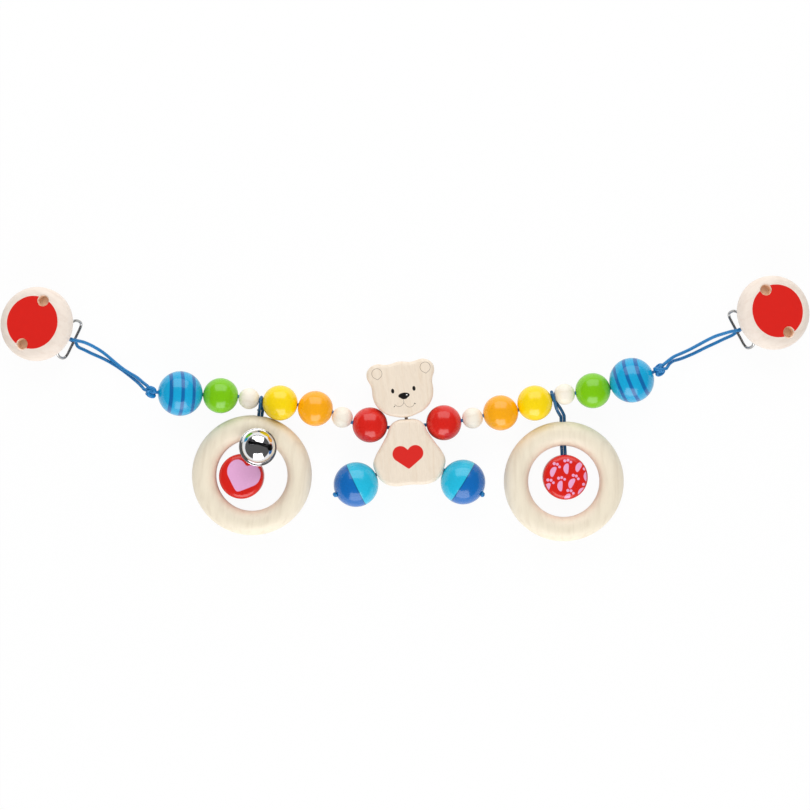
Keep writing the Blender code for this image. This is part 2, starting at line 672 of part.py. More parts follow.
def bell(eyelet_middle, drop_way, drop):
    """A jingle bell of two pressed shells, hung by its eyelet on the left disc's cord, with a pellet inside."""
    level = Vector((math.cos(bell_lean_heading), math.sin(bell_lean_heading), 0))
    up = level * math.sin(bell_lean) + Vector((0, 0, math.cos(bell_lean)))
    eyelet_radius = (bell_eyelet_inner_diameter + bell_eyelet_wire) / 2
    rise = eyelet_radius + bell_eyelet_wire / 2 + fit_gap + bell_diameter / 2
    middle = eyelet_middle + up * rise
    frame = aimed(middle, up)
    swing = axis("bell_swing", eyelet_middle, drop_way, drop)
    radius, wall, rim = bell_diameter / 2, bell_wall, bell_rim_diameter / 2
    seam, shelf = fit_gap / 2, bell_rim_thickness / 2
    outer = arc(radius, 0, math.acos(shelf / radius), 6)
    inside = arc(radius - wall, math.acos(seam / (radius - wall)), 0, 6)
    profile = outer + [(rim, shelf), (rim, seam)] + inside
    upper = turned("bell_upper_shell", profile, "chrome", frame, swing, 20)
    slot_frame = frame @ Matrix.Rotation(bell_slot_turn, 4, "Z") @ Matrix.Translation((0, 0, radius))
    half = bell_slot_length / 2
    deep = radius / 2
    low, high = (-half, -bell_slot_width / 2, -deep), (half, bell_slot_width / 2, deep)
    combine(upper, hidden("bell_slot_cutter", box_mesh("bell_slot_cutter", low, high), slot_frame), "DIFFERENCE")
    for end in (-1, 1):
        hole = rod_mesh("bell_slot_hole", bell_slot_hole_diameter, 2 * deep, 12)
        place = slot_frame @ Matrix.Translation((end * half, 0, 0))
        combine(upper, hidden(f"bell_slot_hole_{end}", hole, place), "DIFFERENCE")
    under = frame @ Matrix.Rotation(math.pi, 4, "X")
    turned("bell_lower_shell", profile, "chrome", under, swing, 20)

    mesh = bpy.data.meshes.new("bell_eyelet")
    work = bmesh.new()
    bmesh.ops.create_circle(work, segments=6, radius=bell_eyelet_wire / 2,
                            matrix=Matrix.Translation((eyelet_radius, 0, 0)) @ Matrix.Rotation(math.pi / 2, 4, "X"))
    bmesh.ops.spin(work, geom=work.verts[:] + work.edges[:], cent=(0, 0, 0), axis=(0, 0, 1), angle=2 * math.pi,
                   steps=14, use_merge=True)
    bmesh.ops.remove_doubles(work, verts=work.verts, dist=weld_distance)
    bmesh.ops.recalc_face_normals(work, faces=work.faces)
    work.to_mesh(mesh)
    work.free()
    shade(mesh)
    eyelet_frame = aimed(eyelet_middle, drop_way, up)
    piece("bell_eyelet", mesh, "chrome", eyelet_frame, swing)

    mesh = bpy.data.meshes.new("bell_pellet")
    work = bmesh.new()
    bmesh.ops.create_icosphere(work, subdivisions=1, radius=bell_pellet_diameter / 2)
    work.to_mesh(mesh)
    work.free()
    shade(mesh)
    roll = axis("bell_pellet_roll", middle, drop_way, swing)
    drop_in_bell = radius - wall - fit_gap - bell_pellet_diameter / 2
    piece("bell_pellet", mesh, "steel", aimed(middle - up * drop_in_bell, up), roll)


def clip(side):
    """A clip: a wooden dome on a sloping plate, with a lever and its pin under it, and a wire bail at the end."""
    turn = Matrix.Rotation(clip_heading[side], 4, "Z")
    ground = Matrix.Translation((clip_across[side], clip_up[side], 0)) @ turn
    slope = ground @ Matrix.Translation((0, 0, clip_height)) @ Matrix.Rotation(-clip_slope, 4, "Y")
    crosswise = turn @ Vector((0, 1, 0))
    roll_point = slope @ Vector((roll_forward, 0, -roll_drop))
    bail_frame = ground @ Matrix.Translation(ground.inverted() @ roll_point) @ Matrix.Rotation(-bail_slope, 4, "Y")
    hook_point = bail_frame @ Vector((bail_length, 0, 0))
    bail_turn = axis(f"{side}_bail_swing", hook_point, crosswise, loop_carriers[side])
    clip_turn = axis(f"{side}_clip_swing", roll_point, crosswise, bail_turn)

    half = [(along * bail_length, across * bail_half_width) for along, across in bail_outline_shares]
    loop = half + [(along, -across) for along, across in reversed(half)]
    points = smooth_route([(along, across, 0) for along, across in loop], bail_point_spacing, cyclic=True)
    tube(f"{side}_clip_bail", [bail_frame @ p for p in points], bail_wire, "steel", bail_turn, sides_level=1,
         cyclic=True, frame=bail_frame)

    radius, face = dome_diameter / 2, dome_face_diameter / 2
    bow = arc(1, 0, math.pi / 2, 5)
    side_run = [(face + (radius - face) * x, dome_edge_height + (dome_height - dome_edge_height) * z) for x, z in bow]
    profile = [(0, dome_height)] + side_run + [(radius, dome_edge_radius), (radius - dome_edge_radius, 0), (0, 0)]
    seat = plate_thickness + fit_gap
    dome = turned(f"{side}_clip_dome", profile, "red lacquer", slope @ Matrix.Translation((0, 0, seat)), clip_turn, 28)
    for way in (-1, 1):
        point = slope @ Vector((0, way * dome_hole_across, dome_height / 2))
        drill(dome, f"{side}_dome_hole_{way}", point, slope.to_3x3() @ Vector((0, 0, 1)), dome_hole_diameter,
              2 * dome_height)

    mesh = box_mesh(f"{side}_clip_plate", (-plate_back, -plate_width / 2, 0),
                    (plate_front, plate_width / 2, plate_thickness))
    plate = piece(f"{side}_clip_plate", mesh, "steel", slope, clip_turn)
    for way in (-1, 1):
        inner, outer = sorted((way * (plate_width / 2 - ear_thickness), way * plate_width / 2))
        ear = box_mesh("ear", (-ear_back, inner, -ear_depth), (-ear_front, outer, plate_thickness / 2))
        combine(plate, hidden(f"{side}_ear_{way}", ear, slope), "UNION")
    roll_way = slope.to_3x3() @ Vector((0, 1, 0))
    rod = rod_mesh("roll", roll_diameter, 2 * roll_half_length, 12)
    roll = hidden(f"{side}_roll", rod, aimed(roll_point, roll_way))
    combine(plate, roll, "UNION")
    drill(plate, f"{side}_roll_bore", roll_point, roll_way, bail_wire + 2 * fit_gap, 3 * roll_half_length)
    pin_point = slope @ Vector((-pin_back, 0, -pin_drop))
    pin_hole = pin_diameter + 2 * fit_gap
    drill(plate, f"{side}_ear_bore", pin_point, roll_way, pin_hole, 2 * plate_width)

    half_pin = plate_width / 2 + fit_gap
    head, shank = pin_head_diameter / 2, pin_diameter / 2
    end = half_pin + pin_head_thickness
    profile = [(0, end), (head, end), (head, half_pin), (shank, half_pin), (shank, -half_pin), (head, -half_pin),
               (head, -end), (0, -end)]
    turned(f"{side}_clip_pin", profile, "steel", aimed(pin_point, roll_way), clip_turn, 10)

    mesh = box_mesh(f"{side}_clip_pad", (-pad_back, -pad_half_width, -fit_gap - pad_thickness),
                    (-pad_front, pad_half_width, -fit_gap))
    piece(f"{side}_clip_pad", mesh, "white plastic", slope, clip_turn)

    pin_on_ground = ground.inverted() @ pin_point
    lever_axis = axis(f"{side}_lever_open", pin_point, crosswise, clip_turn)
    back, nose, top = -lever_back, -lever_nose_front, lever_nose_height
    mid = pin_on_ground.x
    low_corner = pin_on_ground.z
    outline = [(lever_front, 0), (lever_front, lever_thickness), (nose, lever_thickness), (nose, low_corner + shank),
               (mid, top), ((mid + back) / 2, top - lever_thickness / 2), (back, low_corner), (back, 0)]
    mesh = bpy.data.meshes.new(f"{side}_clip_lever")
    work = bmesh.new()
    corners = [work.verts.new((x, -lever_half_width, z)) for x, z in outline]
    face_made = work.faces.new(corners)
    pushed = bmesh.ops.extrude_face_region(work, geom=[face_made])
    moved = [v for v in pushed["geom"] if isinstance(v, bmesh.types.BMVert)]
    bmesh.ops.translate(work, verts=moved, vec=(0, 2 * lever_half_width, 0))
    bmesh.ops.recalc_face_normals(work, faces=work.faces)
    work.to_mesh(mesh)
    work.free()
    lever = piece(f"{side}_clip_lever", mesh, "steel", ground, lever_axis)
    drill(lever, f"{side}_lever_bore", pin_point, roll_way, pin_hole, 3 * lever_half_width)
    return hook_point


link_carriers = {}
loop_carriers = {}
torso = axis("bear_torso", (0, 0, 0), (0, 0, 1))
bear_body = bear()
for side in ("left", "right"):
    leg(side, bear_body)
    places, knot = string_of_beads(side)
    hung = pendant(side, places)
    if side == "left":
        bell(*hung)
    loop_carriers[side] = axis(f"{side}_loop_swing", knot, (0, 0, outward[side]), link_carriers[side, 5])
    points = smooth_route(loop_routes[side], loop_point_spacing)
    tube(f"{side}_loop_cord", points, cord_diameter, "blue cord", loop_carriers[side])
    length = sum((b - a).length for a, b in zip(points, points[1:]))
    print(f"{side} loop cord is {length * 1000:.1f} mm long")
    hook = clip(side)
    print(side, "knot", tuple(round(v, 4) for v in knot), "hook", tuple(round(v, 4) for v in hook))
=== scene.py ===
"""The looks of a wooden pram chain toy, laid flat on a pale table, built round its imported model."""

import json
import math

import bmesh
import bpy
from mathutils import Matrix, Vector

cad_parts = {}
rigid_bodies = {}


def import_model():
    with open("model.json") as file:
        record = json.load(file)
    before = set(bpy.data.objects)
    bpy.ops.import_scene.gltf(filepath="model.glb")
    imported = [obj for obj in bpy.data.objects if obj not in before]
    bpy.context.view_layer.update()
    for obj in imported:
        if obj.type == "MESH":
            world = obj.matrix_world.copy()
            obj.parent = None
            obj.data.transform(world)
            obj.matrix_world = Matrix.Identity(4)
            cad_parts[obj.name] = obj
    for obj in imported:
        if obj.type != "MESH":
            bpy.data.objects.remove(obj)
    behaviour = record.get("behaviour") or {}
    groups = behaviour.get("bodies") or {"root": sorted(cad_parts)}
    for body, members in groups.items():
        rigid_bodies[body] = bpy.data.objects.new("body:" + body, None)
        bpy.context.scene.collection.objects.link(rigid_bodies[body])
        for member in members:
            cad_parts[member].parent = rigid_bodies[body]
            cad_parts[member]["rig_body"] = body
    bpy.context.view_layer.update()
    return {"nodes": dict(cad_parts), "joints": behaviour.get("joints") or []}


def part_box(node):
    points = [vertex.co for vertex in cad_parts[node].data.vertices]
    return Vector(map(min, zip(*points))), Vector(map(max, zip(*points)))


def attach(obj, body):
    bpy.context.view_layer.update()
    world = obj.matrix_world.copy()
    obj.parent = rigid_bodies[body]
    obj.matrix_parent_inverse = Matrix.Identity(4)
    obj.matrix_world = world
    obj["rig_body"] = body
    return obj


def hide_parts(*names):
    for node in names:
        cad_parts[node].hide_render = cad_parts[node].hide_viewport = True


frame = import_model()
joints = {joint["name"]: joint for joint in frame["joints"]}
nodes = frame["nodes"]
scene = bpy.context.scene
sides = {"left": -1, "right": 1}


def placed(name, data):
    """A new object in the scene."""
    made = bpy.data.objects.new(name, data)
    scene.collection.objects.link(made)
    return made


# Camera and the two loose cords

camera_height, bead_height = 1.2, 0.010
picture_width, picture_middle = 0.4635, (-0.0021, 0.0268)
camera_data = bpy.data.cameras.new("camera")
camera_data.lens = camera_data.sensor_width * (camera_height - bead_height) / picture_width
scene.camera = placed("camera", camera_data)
scene.camera.location = (*picture_middle, camera_height)

cord_diameter = 0.0019
strand_diameter = 0.0018
strand_gap = 0.0001
bore_diameter = 0.0025
fit_gap = 0.0003
weld_reach = 0.000002
loop_spacing = 0.0007

loop_routes = {
    "left": ((-0.1488, 0.0377, 0.0159), (-0.1515, 0.0395, 0.0130), (-0.1557, 0.0427, 0.0096),
             (-0.1600, 0.0450, 0.0060), (-0.1646, 0.0478, 0.0036), (-0.1696, 0.0518, 0.0031),
             (-0.1738, 0.0554, 0.0029), (-0.1768, 0.0577, 0.0034), (-0.1798, 0.0596, 0.0043),
             (-0.1830, 0.0614, 0.0058), (-0.1866, 0.0629, 0.0074), (-0.1917, 0.0640, 0.0086),
             (-0.1937, 0.0647, 0.0073), (-0.1946, 0.0645, 0.0048), (-0.1939, 0.0638, 0.0023),
             (-0.1920, 0.0628, 0.00105), (-0.1906, 0.0604, 0.0010), (-0.1868, 0.0585, 0.0010),
             (-0.1830, 0.0566, 0.0010), (-0.1791, 0.0549, 0.0010), (-0.1752, 0.0531, 0.0010),
             (-0.1714, 0.0510, 0.0010), (-0.1683, 0.0491, 0.0010), (-0.1652, 0.0470, 0.0012),
             (-0.1620, 0.0447, 0.0023), (-0.1590, 0.0425, 0.0048), (-0.1558, 0.0402, 0.0084),
             (-0.1532, 0.0381, 0.0118), (-0.1507, 0.0357, 0.0154)),
    "right": ((0.1452, 0.0499, 0.0159), (0.1512, 0.0542, 0.0116), (0.1566, 0.0565, 0.0072),
              (0.1618, 0.0588, 0.0042), (0.1667, 0.0614, 0.0032), (0.1715, 0.0640, 0.0036),
              (0.1760, 0.0662, 0.0050), (0.1805, 0.0677, 0.0068), (0.1851, 0.0690, 0.0081),
              (0.1880, 0.0694, 0.0086), (0.1899, 0.0702, 0.0073), (0.1908, 0.0702, 0.0048),
              (0.1901, 0.0694, 0.0023), (0.1884, 0.0683, 0.00105), (0.1863, 0.0669, 0.0010),
              (0.1814, 0.0647, 0.0010), (0.1766, 0.0624, 0.0010), (0.1718, 0.0602, 0.0010),
              (0.1670, 0.0578, 0.0010), (0.1641, 0.0564, 0.0010), (0.1603, 0.0548, 0.0013),
              (0.1572, 0.0536, 0.0026), (0.1545, 0.0528, 0.0050), (0.1517, 0.0520, 0.0082),
              (0.1490, 0.0503, 0.0120), (0.1468, 0.0476, 0.0156)),
}


def spot(joint):
    """The point that a joint turns about."""
    return Vector(joints[joint]["pos_m"])


def way_of(joint):
    """The way that a joint's axis points."""
    return Vector(joints[joint]["axis"])


def aimed(point, way, side_way=(0, 0, 1)):
    """A frame at a point with its Z along way, and its X as near side_way as it can be."""
    z = Vector(way).normalized()
    x = Vector(side_way) - Vector(side_way).dot(z) * z
    if x.length < 0.001:
        x = Vector((1, 0, 0)) - z.x * z
    x.normalize()
    return Matrix.Translation(point) @ Matrix((x, z.cross(x), z)).transposed().to_4x4()


def smooth_route(points, spacing, cyclic=False):
    """Even points along the smooth curve through a route's own points."""
    points = [Vector(p) for p in points]
    count = len(points)
    fine = []
    for i in range(count if cyclic else count - 1):
        before = points[i - 1] if cyclic or i > 0 else 2 * points[0] - points[1]
        here, after = points[i], points[(i + 1) % count]
        beyond = points[(i + 2) % count] if cyclic or i + 2 < count else 2 * after - here
        for step in range(24):
            t = step / 24
            fine.append(0.5 * (2 * here + (after - before) * t
                               + (2 * before - 5 * here + 4 * after - beyond) * t * t
                               + (3 * here - before - 3 * after + beyond) * t * t * t))
    fine.append(points[0] if cyclic else points[-1])
    lengths = [0.0]
    for a, b in zip(fine, fine[1:]):
        lengths.append(lengths[-1] + (b - a).length)
    wanted = max(2, round(lengths[-1] / spacing))
    even, at = [], 0
    for i in range(wanted if cyclic else wanted + 1):
        goal = lengths[-1] * i / wanted
        while at < len(fine) - 2 and lengths[at + 1] < goal:
            at += 1
        share = (goal - lengths[at]) / max(lengths[at + 1] - lengths[at], 1e-12)
        even.append(fine[at].lerp(fine[at + 1], share))
    return even


# Shader maths


class Number:
    """A shader socket that takes part in sums as a number does."""

    def __init__(self, look, socket):
        self.look = look
        self.socket = socket

    def held(self):
        """The number held between 0 and 1."""
        return self.look.node("Clamp", {}, {"Value": self})

    def inside(self, blur):
        """1 where a distance is below zero, 0 where it is above, with a soft edge as wide as blur."""
        return (0.5 - self / blur).held()


def sum_method(operation, turned_round=False):
    """A method of Number for one operation, with the other number first where it is turned round."""
    def method(self, *others):
        return self.look.maths(operation, *((*others, self) if turned_round else (self, *others)))
    return method


for name, operation in (("add", "ADD"), ("sub", "SUBTRACT"), ("mul", "MULTIPLY"), ("truediv", "DIVIDE")):
    setattr(Number, f"__{name}__", sum_method(operation))
    setattr(Number, f"__r{name}__", sum_method(operation, True))
for name, operation in (("__abs__", "ABSOLUTE"), ("root", "SQRT"), ("sine", "SINE"), ("least", "MINIMUM"),
                        ("most", "MAXIMUM")):
    setattr(Number, name, sum_method(operation))


class Look:
    """A material or the world, with short ways to add its nodes."""

    def __init__(self, name, owner=None, shader="Principled BSDF"):
        self.owner = owner or bpy.data.materials.new(name)
        self.owner.use_nodes = True
        self.tree = self.owner.node_tree
        self.shader = self.tree.nodes[shader]

    def node(self, kind, settings, values, out=0):
        """Adds a node with its settings, sets or links its sockets, and gives one of its outputs."""
        made = self.tree.nodes.new("ShaderNode" + kind)
        for name, value in settings.items():
            if name == "stops":
                while len(made.color_ramp.elements) < len(value):
                    made.color_ramp.elements.new(1.0)
                for stop, (place, colour) in zip(made.color_ramp.elements, value):
                    stop.position = place
                    stop.color = (*colour, 1)
            else:
                setattr(made, name, value)
        for name, value in values.items():
            self.put(made.inputs[name], value)
        return Number(self, made.outputs[out])

    def put(self, socket, value):
        """Links a socket to a number, or sets it."""
        if isinstance(value, Number):
            self.tree.links.new(value.socket, socket)
        elif isinstance(value, (tuple, list, Vector)) and len(value) == 3 and len(socket.default_value) == 4:
            socket.default_value = (*value, 1)
        else:
            socket.default_value = value

    def maths(self, operation, *values):
        return self.node("Math", {"operation": operation}, dict(enumerate(values)))

    def mix(self, share, first, second):
        """From the first colour at 0 to the second at 1."""
        return self.node("Mix", {"data_type": "RGBA"}, {0: share, 6: first, 7: second}, 2)

    def ramp(self, share, stops):
        return self.node("ValToRGB", {"stops": stops}, {"Fac": share})

    def object_place(self):
        return self.node("TexCoord", {}, {}, "Object")

    def place_on(self, home):
        """Object coordinates in a frame, as a vector and its three numbers."""
        values = {"Vector": self.object_place(), "Location": home.to_translation(),
                  "Rotation": home.to_euler()}
        place = self.node("Mapping", {"vector_type": "TEXTURE"}, values)
        return place, *self.parts(place)

    def ray_is(self, kind):
        """1 on rays of one kind and 0 on all others."""
        return self.node("LightPath", {}, {}, f"Is {kind} Ray")

    def parts(self, vector):
        """The three numbers of a vector."""
        apart = self.node("SeparateXYZ", {}, {"Vector": vector})
        return [Number(self, out) for out in apart.socket.node.outputs]

    def joined(self, x, y, z):
        return self.node("CombineXYZ", {}, {0: x, 1: y, 2: z})

    def noise(self, vector, scale, detail=2.0, roughness=0.5, warp=0.0):
        return self.node("TexNoise", {}, {"Vector": vector, "Scale": scale, "Detail": detail,
                                          "Roughness": roughness, "Distortion": warp})

    def bump(self, height, depth, strength=1.0):
        """Feeds the shader's normal from a height, in metres of depth at 1."""
        raised = self.node("Bump", {}, {"Height": height, "Distance": depth, "Strength": strength})
        self.put(self.shader.inputs["Normal"], raised)

    def set(self, **values):
        """Sets or links the shader's own sockets, with _ for a space in their names."""
        for name, value in values.items():
            self.put(self.shader.inputs[name.replace("_", " ")], value)


def tone(red, green, blue):
    """A colour as a picture writes it, from 0 to 255, as the shader's linear one."""
    shares = [channel / 255 for channel in (red, green, blue)]
    return tuple(s / 12.92 if s <= 0.04045 else ((s + 0.055) / 1.055) ** 2.4 for s in shares)


def darker(colour, share):
    return tuple(channel * share for channel in colour)


# Making and finishing pieces


def welded(shape):
    """The shape with its doubled corners merged and its faces turned outward."""
    bmesh.ops.remove_doubles(shape, verts=shape.verts, dist=weld_reach)
    bmesh.ops.recalc_face_normals(shape, faces=shape.faces)
    return shape


def as_mesh(shape, name="solid"):
    """Turns a bmesh into a mesh."""
    mesh = bpy.data.meshes.new(name)
    shape.to_mesh(mesh)
    shape.free()
    return mesh


def finish_piece(node, shape, look, sharp=35):
    """Turns a bmesh into the finished piece that replaces a node, riding on its body."""
    mesh = as_mesh(welded(shape), f"{node}_finished")
    mesh.shade_smooth()
    mesh.set_sharp_from_angle(angle=math.radians(sharp))
    mesh.materials.append(look.owner)
    piece = placed(f"{node}_finished", mesh)
    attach(piece, nodes[node]["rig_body"])
    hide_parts(node)
    return piece


def arc(radius, start, end, steps, centre=(0, 0)):
    """Points of a circle in a profile's plane, with angles measured from its Z."""
    angles = [start + (end - start) * i / steps for i in range(steps + 1)]
    return [(centre[0] + radius * math.sin(a), centre[1] + radius * math.cos(a)) for a in angles]


def turned(profile, home, steps=64, closed=False):
    """A profile of (radius, height) spun round the Z of a frame."""
    shape = bmesh.new()
    corners = [shape.verts.new((radius, 0, height)) for radius, height in profile]
    edges = [shape.edges.new(pair) for pair in zip(corners, corners[1:])]
    if closed:
        edges.append(shape.edges.new((corners[-1], corners[0])))
    bmesh.ops.spin(shape, geom=corners + edges, cent=(0, 0, 0), axis=(0, 0, 1), angle=2 * math.pi,
                   steps=steps, use_merge=True)
    bmesh.ops.transform(shape, matrix=home, verts=shape.verts)
    return welded(shape)


def hoop(radius, diameter, home, sides_round, steps):
    """A round tube bent to a full circle about the Z of a frame."""
    shape = bmesh.new()
    upright = Matrix.Rotation(math.pi / 2, 4, "X")
    bmesh.ops.create_circle(shape, segments=sides_round, radius=diameter / 2,
                            matrix=Matrix.Translation((radius, 0, 0)) @ upright)
    bmesh.ops.spin(shape, geom=shape.verts[:] + shape.edges[:], cent=(0, 0, 0), axis=(0, 0, 1),
                   angle=2 * math.pi, steps=steps, use_merge=True)
    bmesh.ops.transform(shape, matrix=home, verts=shape.verts)
    return welded(shape)


def add_ball(shape, place, diameter, segments=(20, 12)):
    """Adds a ball to a shape, at a point or in a frame."""
    home = place if isinstance(place, Matrix) else Matrix.Translation(place)
    bmesh.ops.create_uvsphere(shape, u_segments=segments[0], v_segments=segments[1], radius=diameter / 2,
                              matrix=home)


def outcome(maker, *helpers):
    """The shape that an object's curve or modifiers make, after which it and its helpers are removed."""
    bpy.context.view_layer.update()
    changed = maker.evaluated_get(bpy.context.evaluated_depsgraph_get())
    shape = bmesh.new()
    shape.from_mesh(bpy.data.meshes.new_from_object(changed))
    for used in (maker, *helpers):
        bpy.data.objects.remove(used)
    return shape


def curve_shape(kind, points, cyclic, **settings):
    """The shape that a straight-sided (POLY) or smooth (BEZIER) curve through points makes."""
    curve = bpy.data.curves.new("run", "CURVE")
    for name, value in settings.items():
        setattr(curve, name, value)
    spline = curve.splines.new(kind)
    spline.use_cyclic_u = cyclic
    knots = spline.points if kind == "POLY" else spline.bezier_points
    knots.add(len(points) - 1)
    for knot, point in zip(knots, points):
        if kind == "POLY":
            knot.co = (*point, 1)
        else:
            knot.co, knot.handle_left_type, knot.handle_right_type = point, "AUTO", "AUTO"
    return outcome(placed("maker", curve))


def tube_shape(points, diameter, sides_level=4, cyclic=False):
    """A round tube through points of the world."""
    return curve_shape("POLY", points, cyclic, dimensions="3D", bevel_depth=diameter / 2,
                       bevel_resolution=sides_level, use_fill_caps=not cyclic)


def note_lay(mesh, points):
    """Keeps each corner's run along a cord, in metres, and its turn round it, as an attribute of the mesh."""
    runs, sideways = [0.0], []
    for a, b in zip(points, points[1:]):
        runs.append(runs[-1] + (b - a).length)
    across = None
    for i in range(len(points)):
        ahead = (points[min(i + 1, len(points) - 1)] - points[max(i - 1, 0)]).normalized()
        if across is None:
            across = ahead.orthogonal().normalized()
        across = (across - across.dot(ahead) * ahead).normalized()
        sideways.append((across.copy(), ahead.cross(across), ahead))
    lay = mesh.attributes.new("lay", "FLOAT_VECTOR", "POINT")
    for corner in mesh.vertices:
        at = min(range(len(points)), key=lambda i: (points[i] - corner.co).length_squared)
        first, second, ahead = sideways[at]
        off = corner.co - points[at]
        turn = Vector((off.dot(first), off.dot(second)))
        turn = turn.normalized() if turn.length > 0 else Vector((1, 0))
        lay.data[corner.index].vector = (runs[at] + off.dot(ahead), turn.x, turn.y)


def straight(start, end, spacing=0.0012):
    """Even points on a straight run."""
    count = max(2, round((end - start).length / spacing))
    return [start.lerp(end, i / count) for i in range(count + 1)]


# Finishes


def lacquer(name, colour, home, bored, pattern=None):
    """Glossy lacquer on turned wood: a deep even colour over faint grain, with painted shade round a bore."""
    look = Look(name)
    place, x, y, z = look.place_on(home)
    mottle = look.noise(place, 160, 3)
    painted = pattern(look, x, y, z, colour) if pattern else colour
    shaded = look.mix((mottle - 0.5) * 0.5 + 0.15, painted, look.mix(0.14, painted, (0, 0, 0)))
    if bored:
        # Painted shade: the lacquer is darkened round each bore mouth, where the bead meets its cord.
        rim = (1 - ((x * x + y * y).root() - bore_diameter / 2) / 0.0008).held() * 0.4
        shaded = look.mix(rim, shaded, look.mix(0.5, painted, darker(colour, 0.25)))
    smears = look.noise(place, 90, 4, 0.6)
    look.set(Base_Color=shaded, Roughness=0.20 + smears * 0.14, Specular_IOR_Level=0.3)
    look.set(Coat_Weight=0.5, Coat_Roughness=0.05)
    grain = look.noise(look.joined(x * 6, y * 6, z), 260, 4, 0.6)
    peel = look.noise(place, 420, 2)
    look.bump(grain * 0.5 + peel * 0.5, 0.00004, 0.5)
    return look


def wood(name, home, tones, scale=(1, 9, 9), gloss=0.42, painted=None, pores=0.5, grain=1.0):
    """Bare pale wood in a main and a warmer tone, with long soft streaks and short dark flecks."""
    colour, warm = tones
    look = Look(name)
    place, x, y, z = look.place_on(home)
    along = look.joined(x * scale[0], y * scale[1], z * scale[2])
    streaks = look.noise(along, 42, 4, 0.55, 0.4)
    fine = look.noise(look.joined(x * scale[0] * 2, y * scale[1] * 4, z * scale[2] * 4), 60, 5, 0.65)
    flecks = look.noise(look.joined(x * scale[0] * 5, y * scale[1] * 5, z * scale[2] * 5), 90, 2)
    cloudy = look.noise(place, 24, 2)
    base = look.ramp(streaks, [(0.25, warm), (0.5, colour), (0.8, tuple(min(1, c * 1.05) for c in colour))])
    base = look.mix((fine - 0.45).held() * 0.8 * grain, base, darker(warm, 0.80))
    base = look.mix(((flecks - 0.62) * 6).held() * pores, base, darker(warm, 0.55))
    base = look.mix((cloudy * 0.5 - 0.15).held() * 0.5, base, warm)
    roughness = gloss + fine * 0.14
    if painted is not None:
        base, roughness = painted(look, x, y, z, base, roughness)
    look.set(Base_Color=base, Roughness=roughness, Coat_Weight=0.12, Coat_Roughness=0.3)
    look.bump(fine * 0.6 + flecks * 0.4, 0.00005, 0.45)
    return look


def metal(name, colour, roughness, home, brushed=0.0, scratches=0.3):
    """Plated metal with fine handling marks, or brushed along the frame's X."""
    look = Look(name)
    place, x, y, z = look.place_on(home)
    wipe = look.noise(look.joined(x * 3, y * 40, z * 40), 60, 4, 0.7)
    haze = look.noise(place, 110, 4, 0.6)
    marks = ((look.noise(look.joined(x * 4, y * 30, z * 18), 150, 2) - 0.66) * 9).held()
    hazed = look.mix(haze * 0.25, colour, darker(colour, 0.8))
    look.set(Base_Color=look.mix(marks * scratches, hazed, darker(colour, 0.6)), Metallic=1.0,
             Roughness=roughness + haze * 0.06 + wipe * brushed)
    look.bump(wipe * brushed + marks * 0.2 + haze * 0.1, 0.00003, 0.5)
    return look


def cord_look(name, deep, crown, pale, flecks=0.45):
    """Waxed cord in three tones: plaited threads that run round it both ways, with a painted highlight on
    their crowns and painted shade between them.
    """
    look = Look(name)
    run, across, up = look.parts(look.node("Attribute", {"attribute_name": "lay"}, {}, 1))
    turn = look.maths("ARCTAN2", up, across)
    one_way = (turn * 4 + run * 5200).sine()
    other_way = (turn * 4 - run * 5200).sine()
    plait = one_way.most(other_way) * 0.5 + 0.5
    wax = look.noise(look.object_place(), 700, 3)
    dirt = look.noise(look.object_place(), 130, 3)
    # Painted light and shade: the plait mixes the darker first tone into the valleys between threads and the
    # lighter second tone onto their crowns.
    colour = look.mix(plait, deep, crown)
    colour = look.mix(((wax - 0.6) * 5).held() * flecks, colour, pale)
    colour = look.mix((dirt - 0.35).held() * 0.5, colour, darker(deep, 0.8))
    look.set(Base_Color=colour, Roughness=0.42 + wax * 0.2, Coat_Weight=0.15, Coat_Roughness=0.3)
    look.bump(plait * 0.8 + wax * 0.2, 0.00012, 0.7)
    return look


# For each cord, the first tone is its painted shade between threads, the second its painted highlight on
# their crowns, and the third its wax flecks.
waxed_cord = cord_look("waxed_cord", tone(0, 86, 146), tone(0, 134, 202), tone(30, 156, 214), 0.3)
pendant_cord = cord_look("pendant_cord", tone(4, 56, 98), tone(12, 104, 160), tone(190, 214, 232), 0.7)
pale_cord = cord_look("pale_cord", tone(206, 192, 172), tone(234, 224, 208), tone(250, 246, 238))

lacquer_tones = {"red": tone(222, 30, 18), "orange": tone(255, 174, 8), "yellow": tone(255, 220, 0),
                 "green": tone(126, 202, 0), "light blue": tone(8, 168, 218), "dark blue": tone(2, 106, 188)}
foot_tone, band_tone = tone(30, 190, 226), tone(4, 104, 172)
ring_tones = tone(241, 230, 208), tone(230, 217, 194)
small_bead_tones = tone(248, 240, 225), tone(238, 225, 205)
bear_tones = tone(240, 225, 206), tone(234, 215, 192)
dome_tones, bare_hole_tone = (tone(238, 225, 213), tone(231, 214, 200)), tone(248, 216, 188)
print_red, line_tone, ink = tone(226, 26, 14), tone(120, 100, 84), tone(18, 14, 12)
heart_pink, footprint_pink, pad_tone = tone(238, 178, 222), tone(240, 172, 210), tone(236, 234, 228)


def banded(look, x, y, z, colour):
    """Three dark bands round a bead, each a little wavy."""
    wobble = (look.noise(look.joined(x, y, 0), 120, 2) - 0.5) * 0.0006
    band = 1
    for place in (-0.0065, 0.0, 0.0064):
        reach = abs(z + wobble - place) - 0.00098
        band = band * (1 - reach.inside(0.00014))
    return look.mix(band, band_tone, colour)


def two_tone(look, _x, _y, z, colour):
    """A bead dipped to its middle in the darker colour."""
    seam = (abs(z) - 0.00030).inside(0.0001)
    dipped = look.mix((0 - z).inside(0.00006), colour, lacquer_tones["dark blue"])
    return look.mix(seam * 0.7, dipped, darker(lacquer_tones["dark blue"], 0.45))


# Beads

bead_diameter, small_diameter, striped_diameter, foot_diameter = 0.0202, 0.012, 0.0256, 0.0256
bead_lip = 0.0004


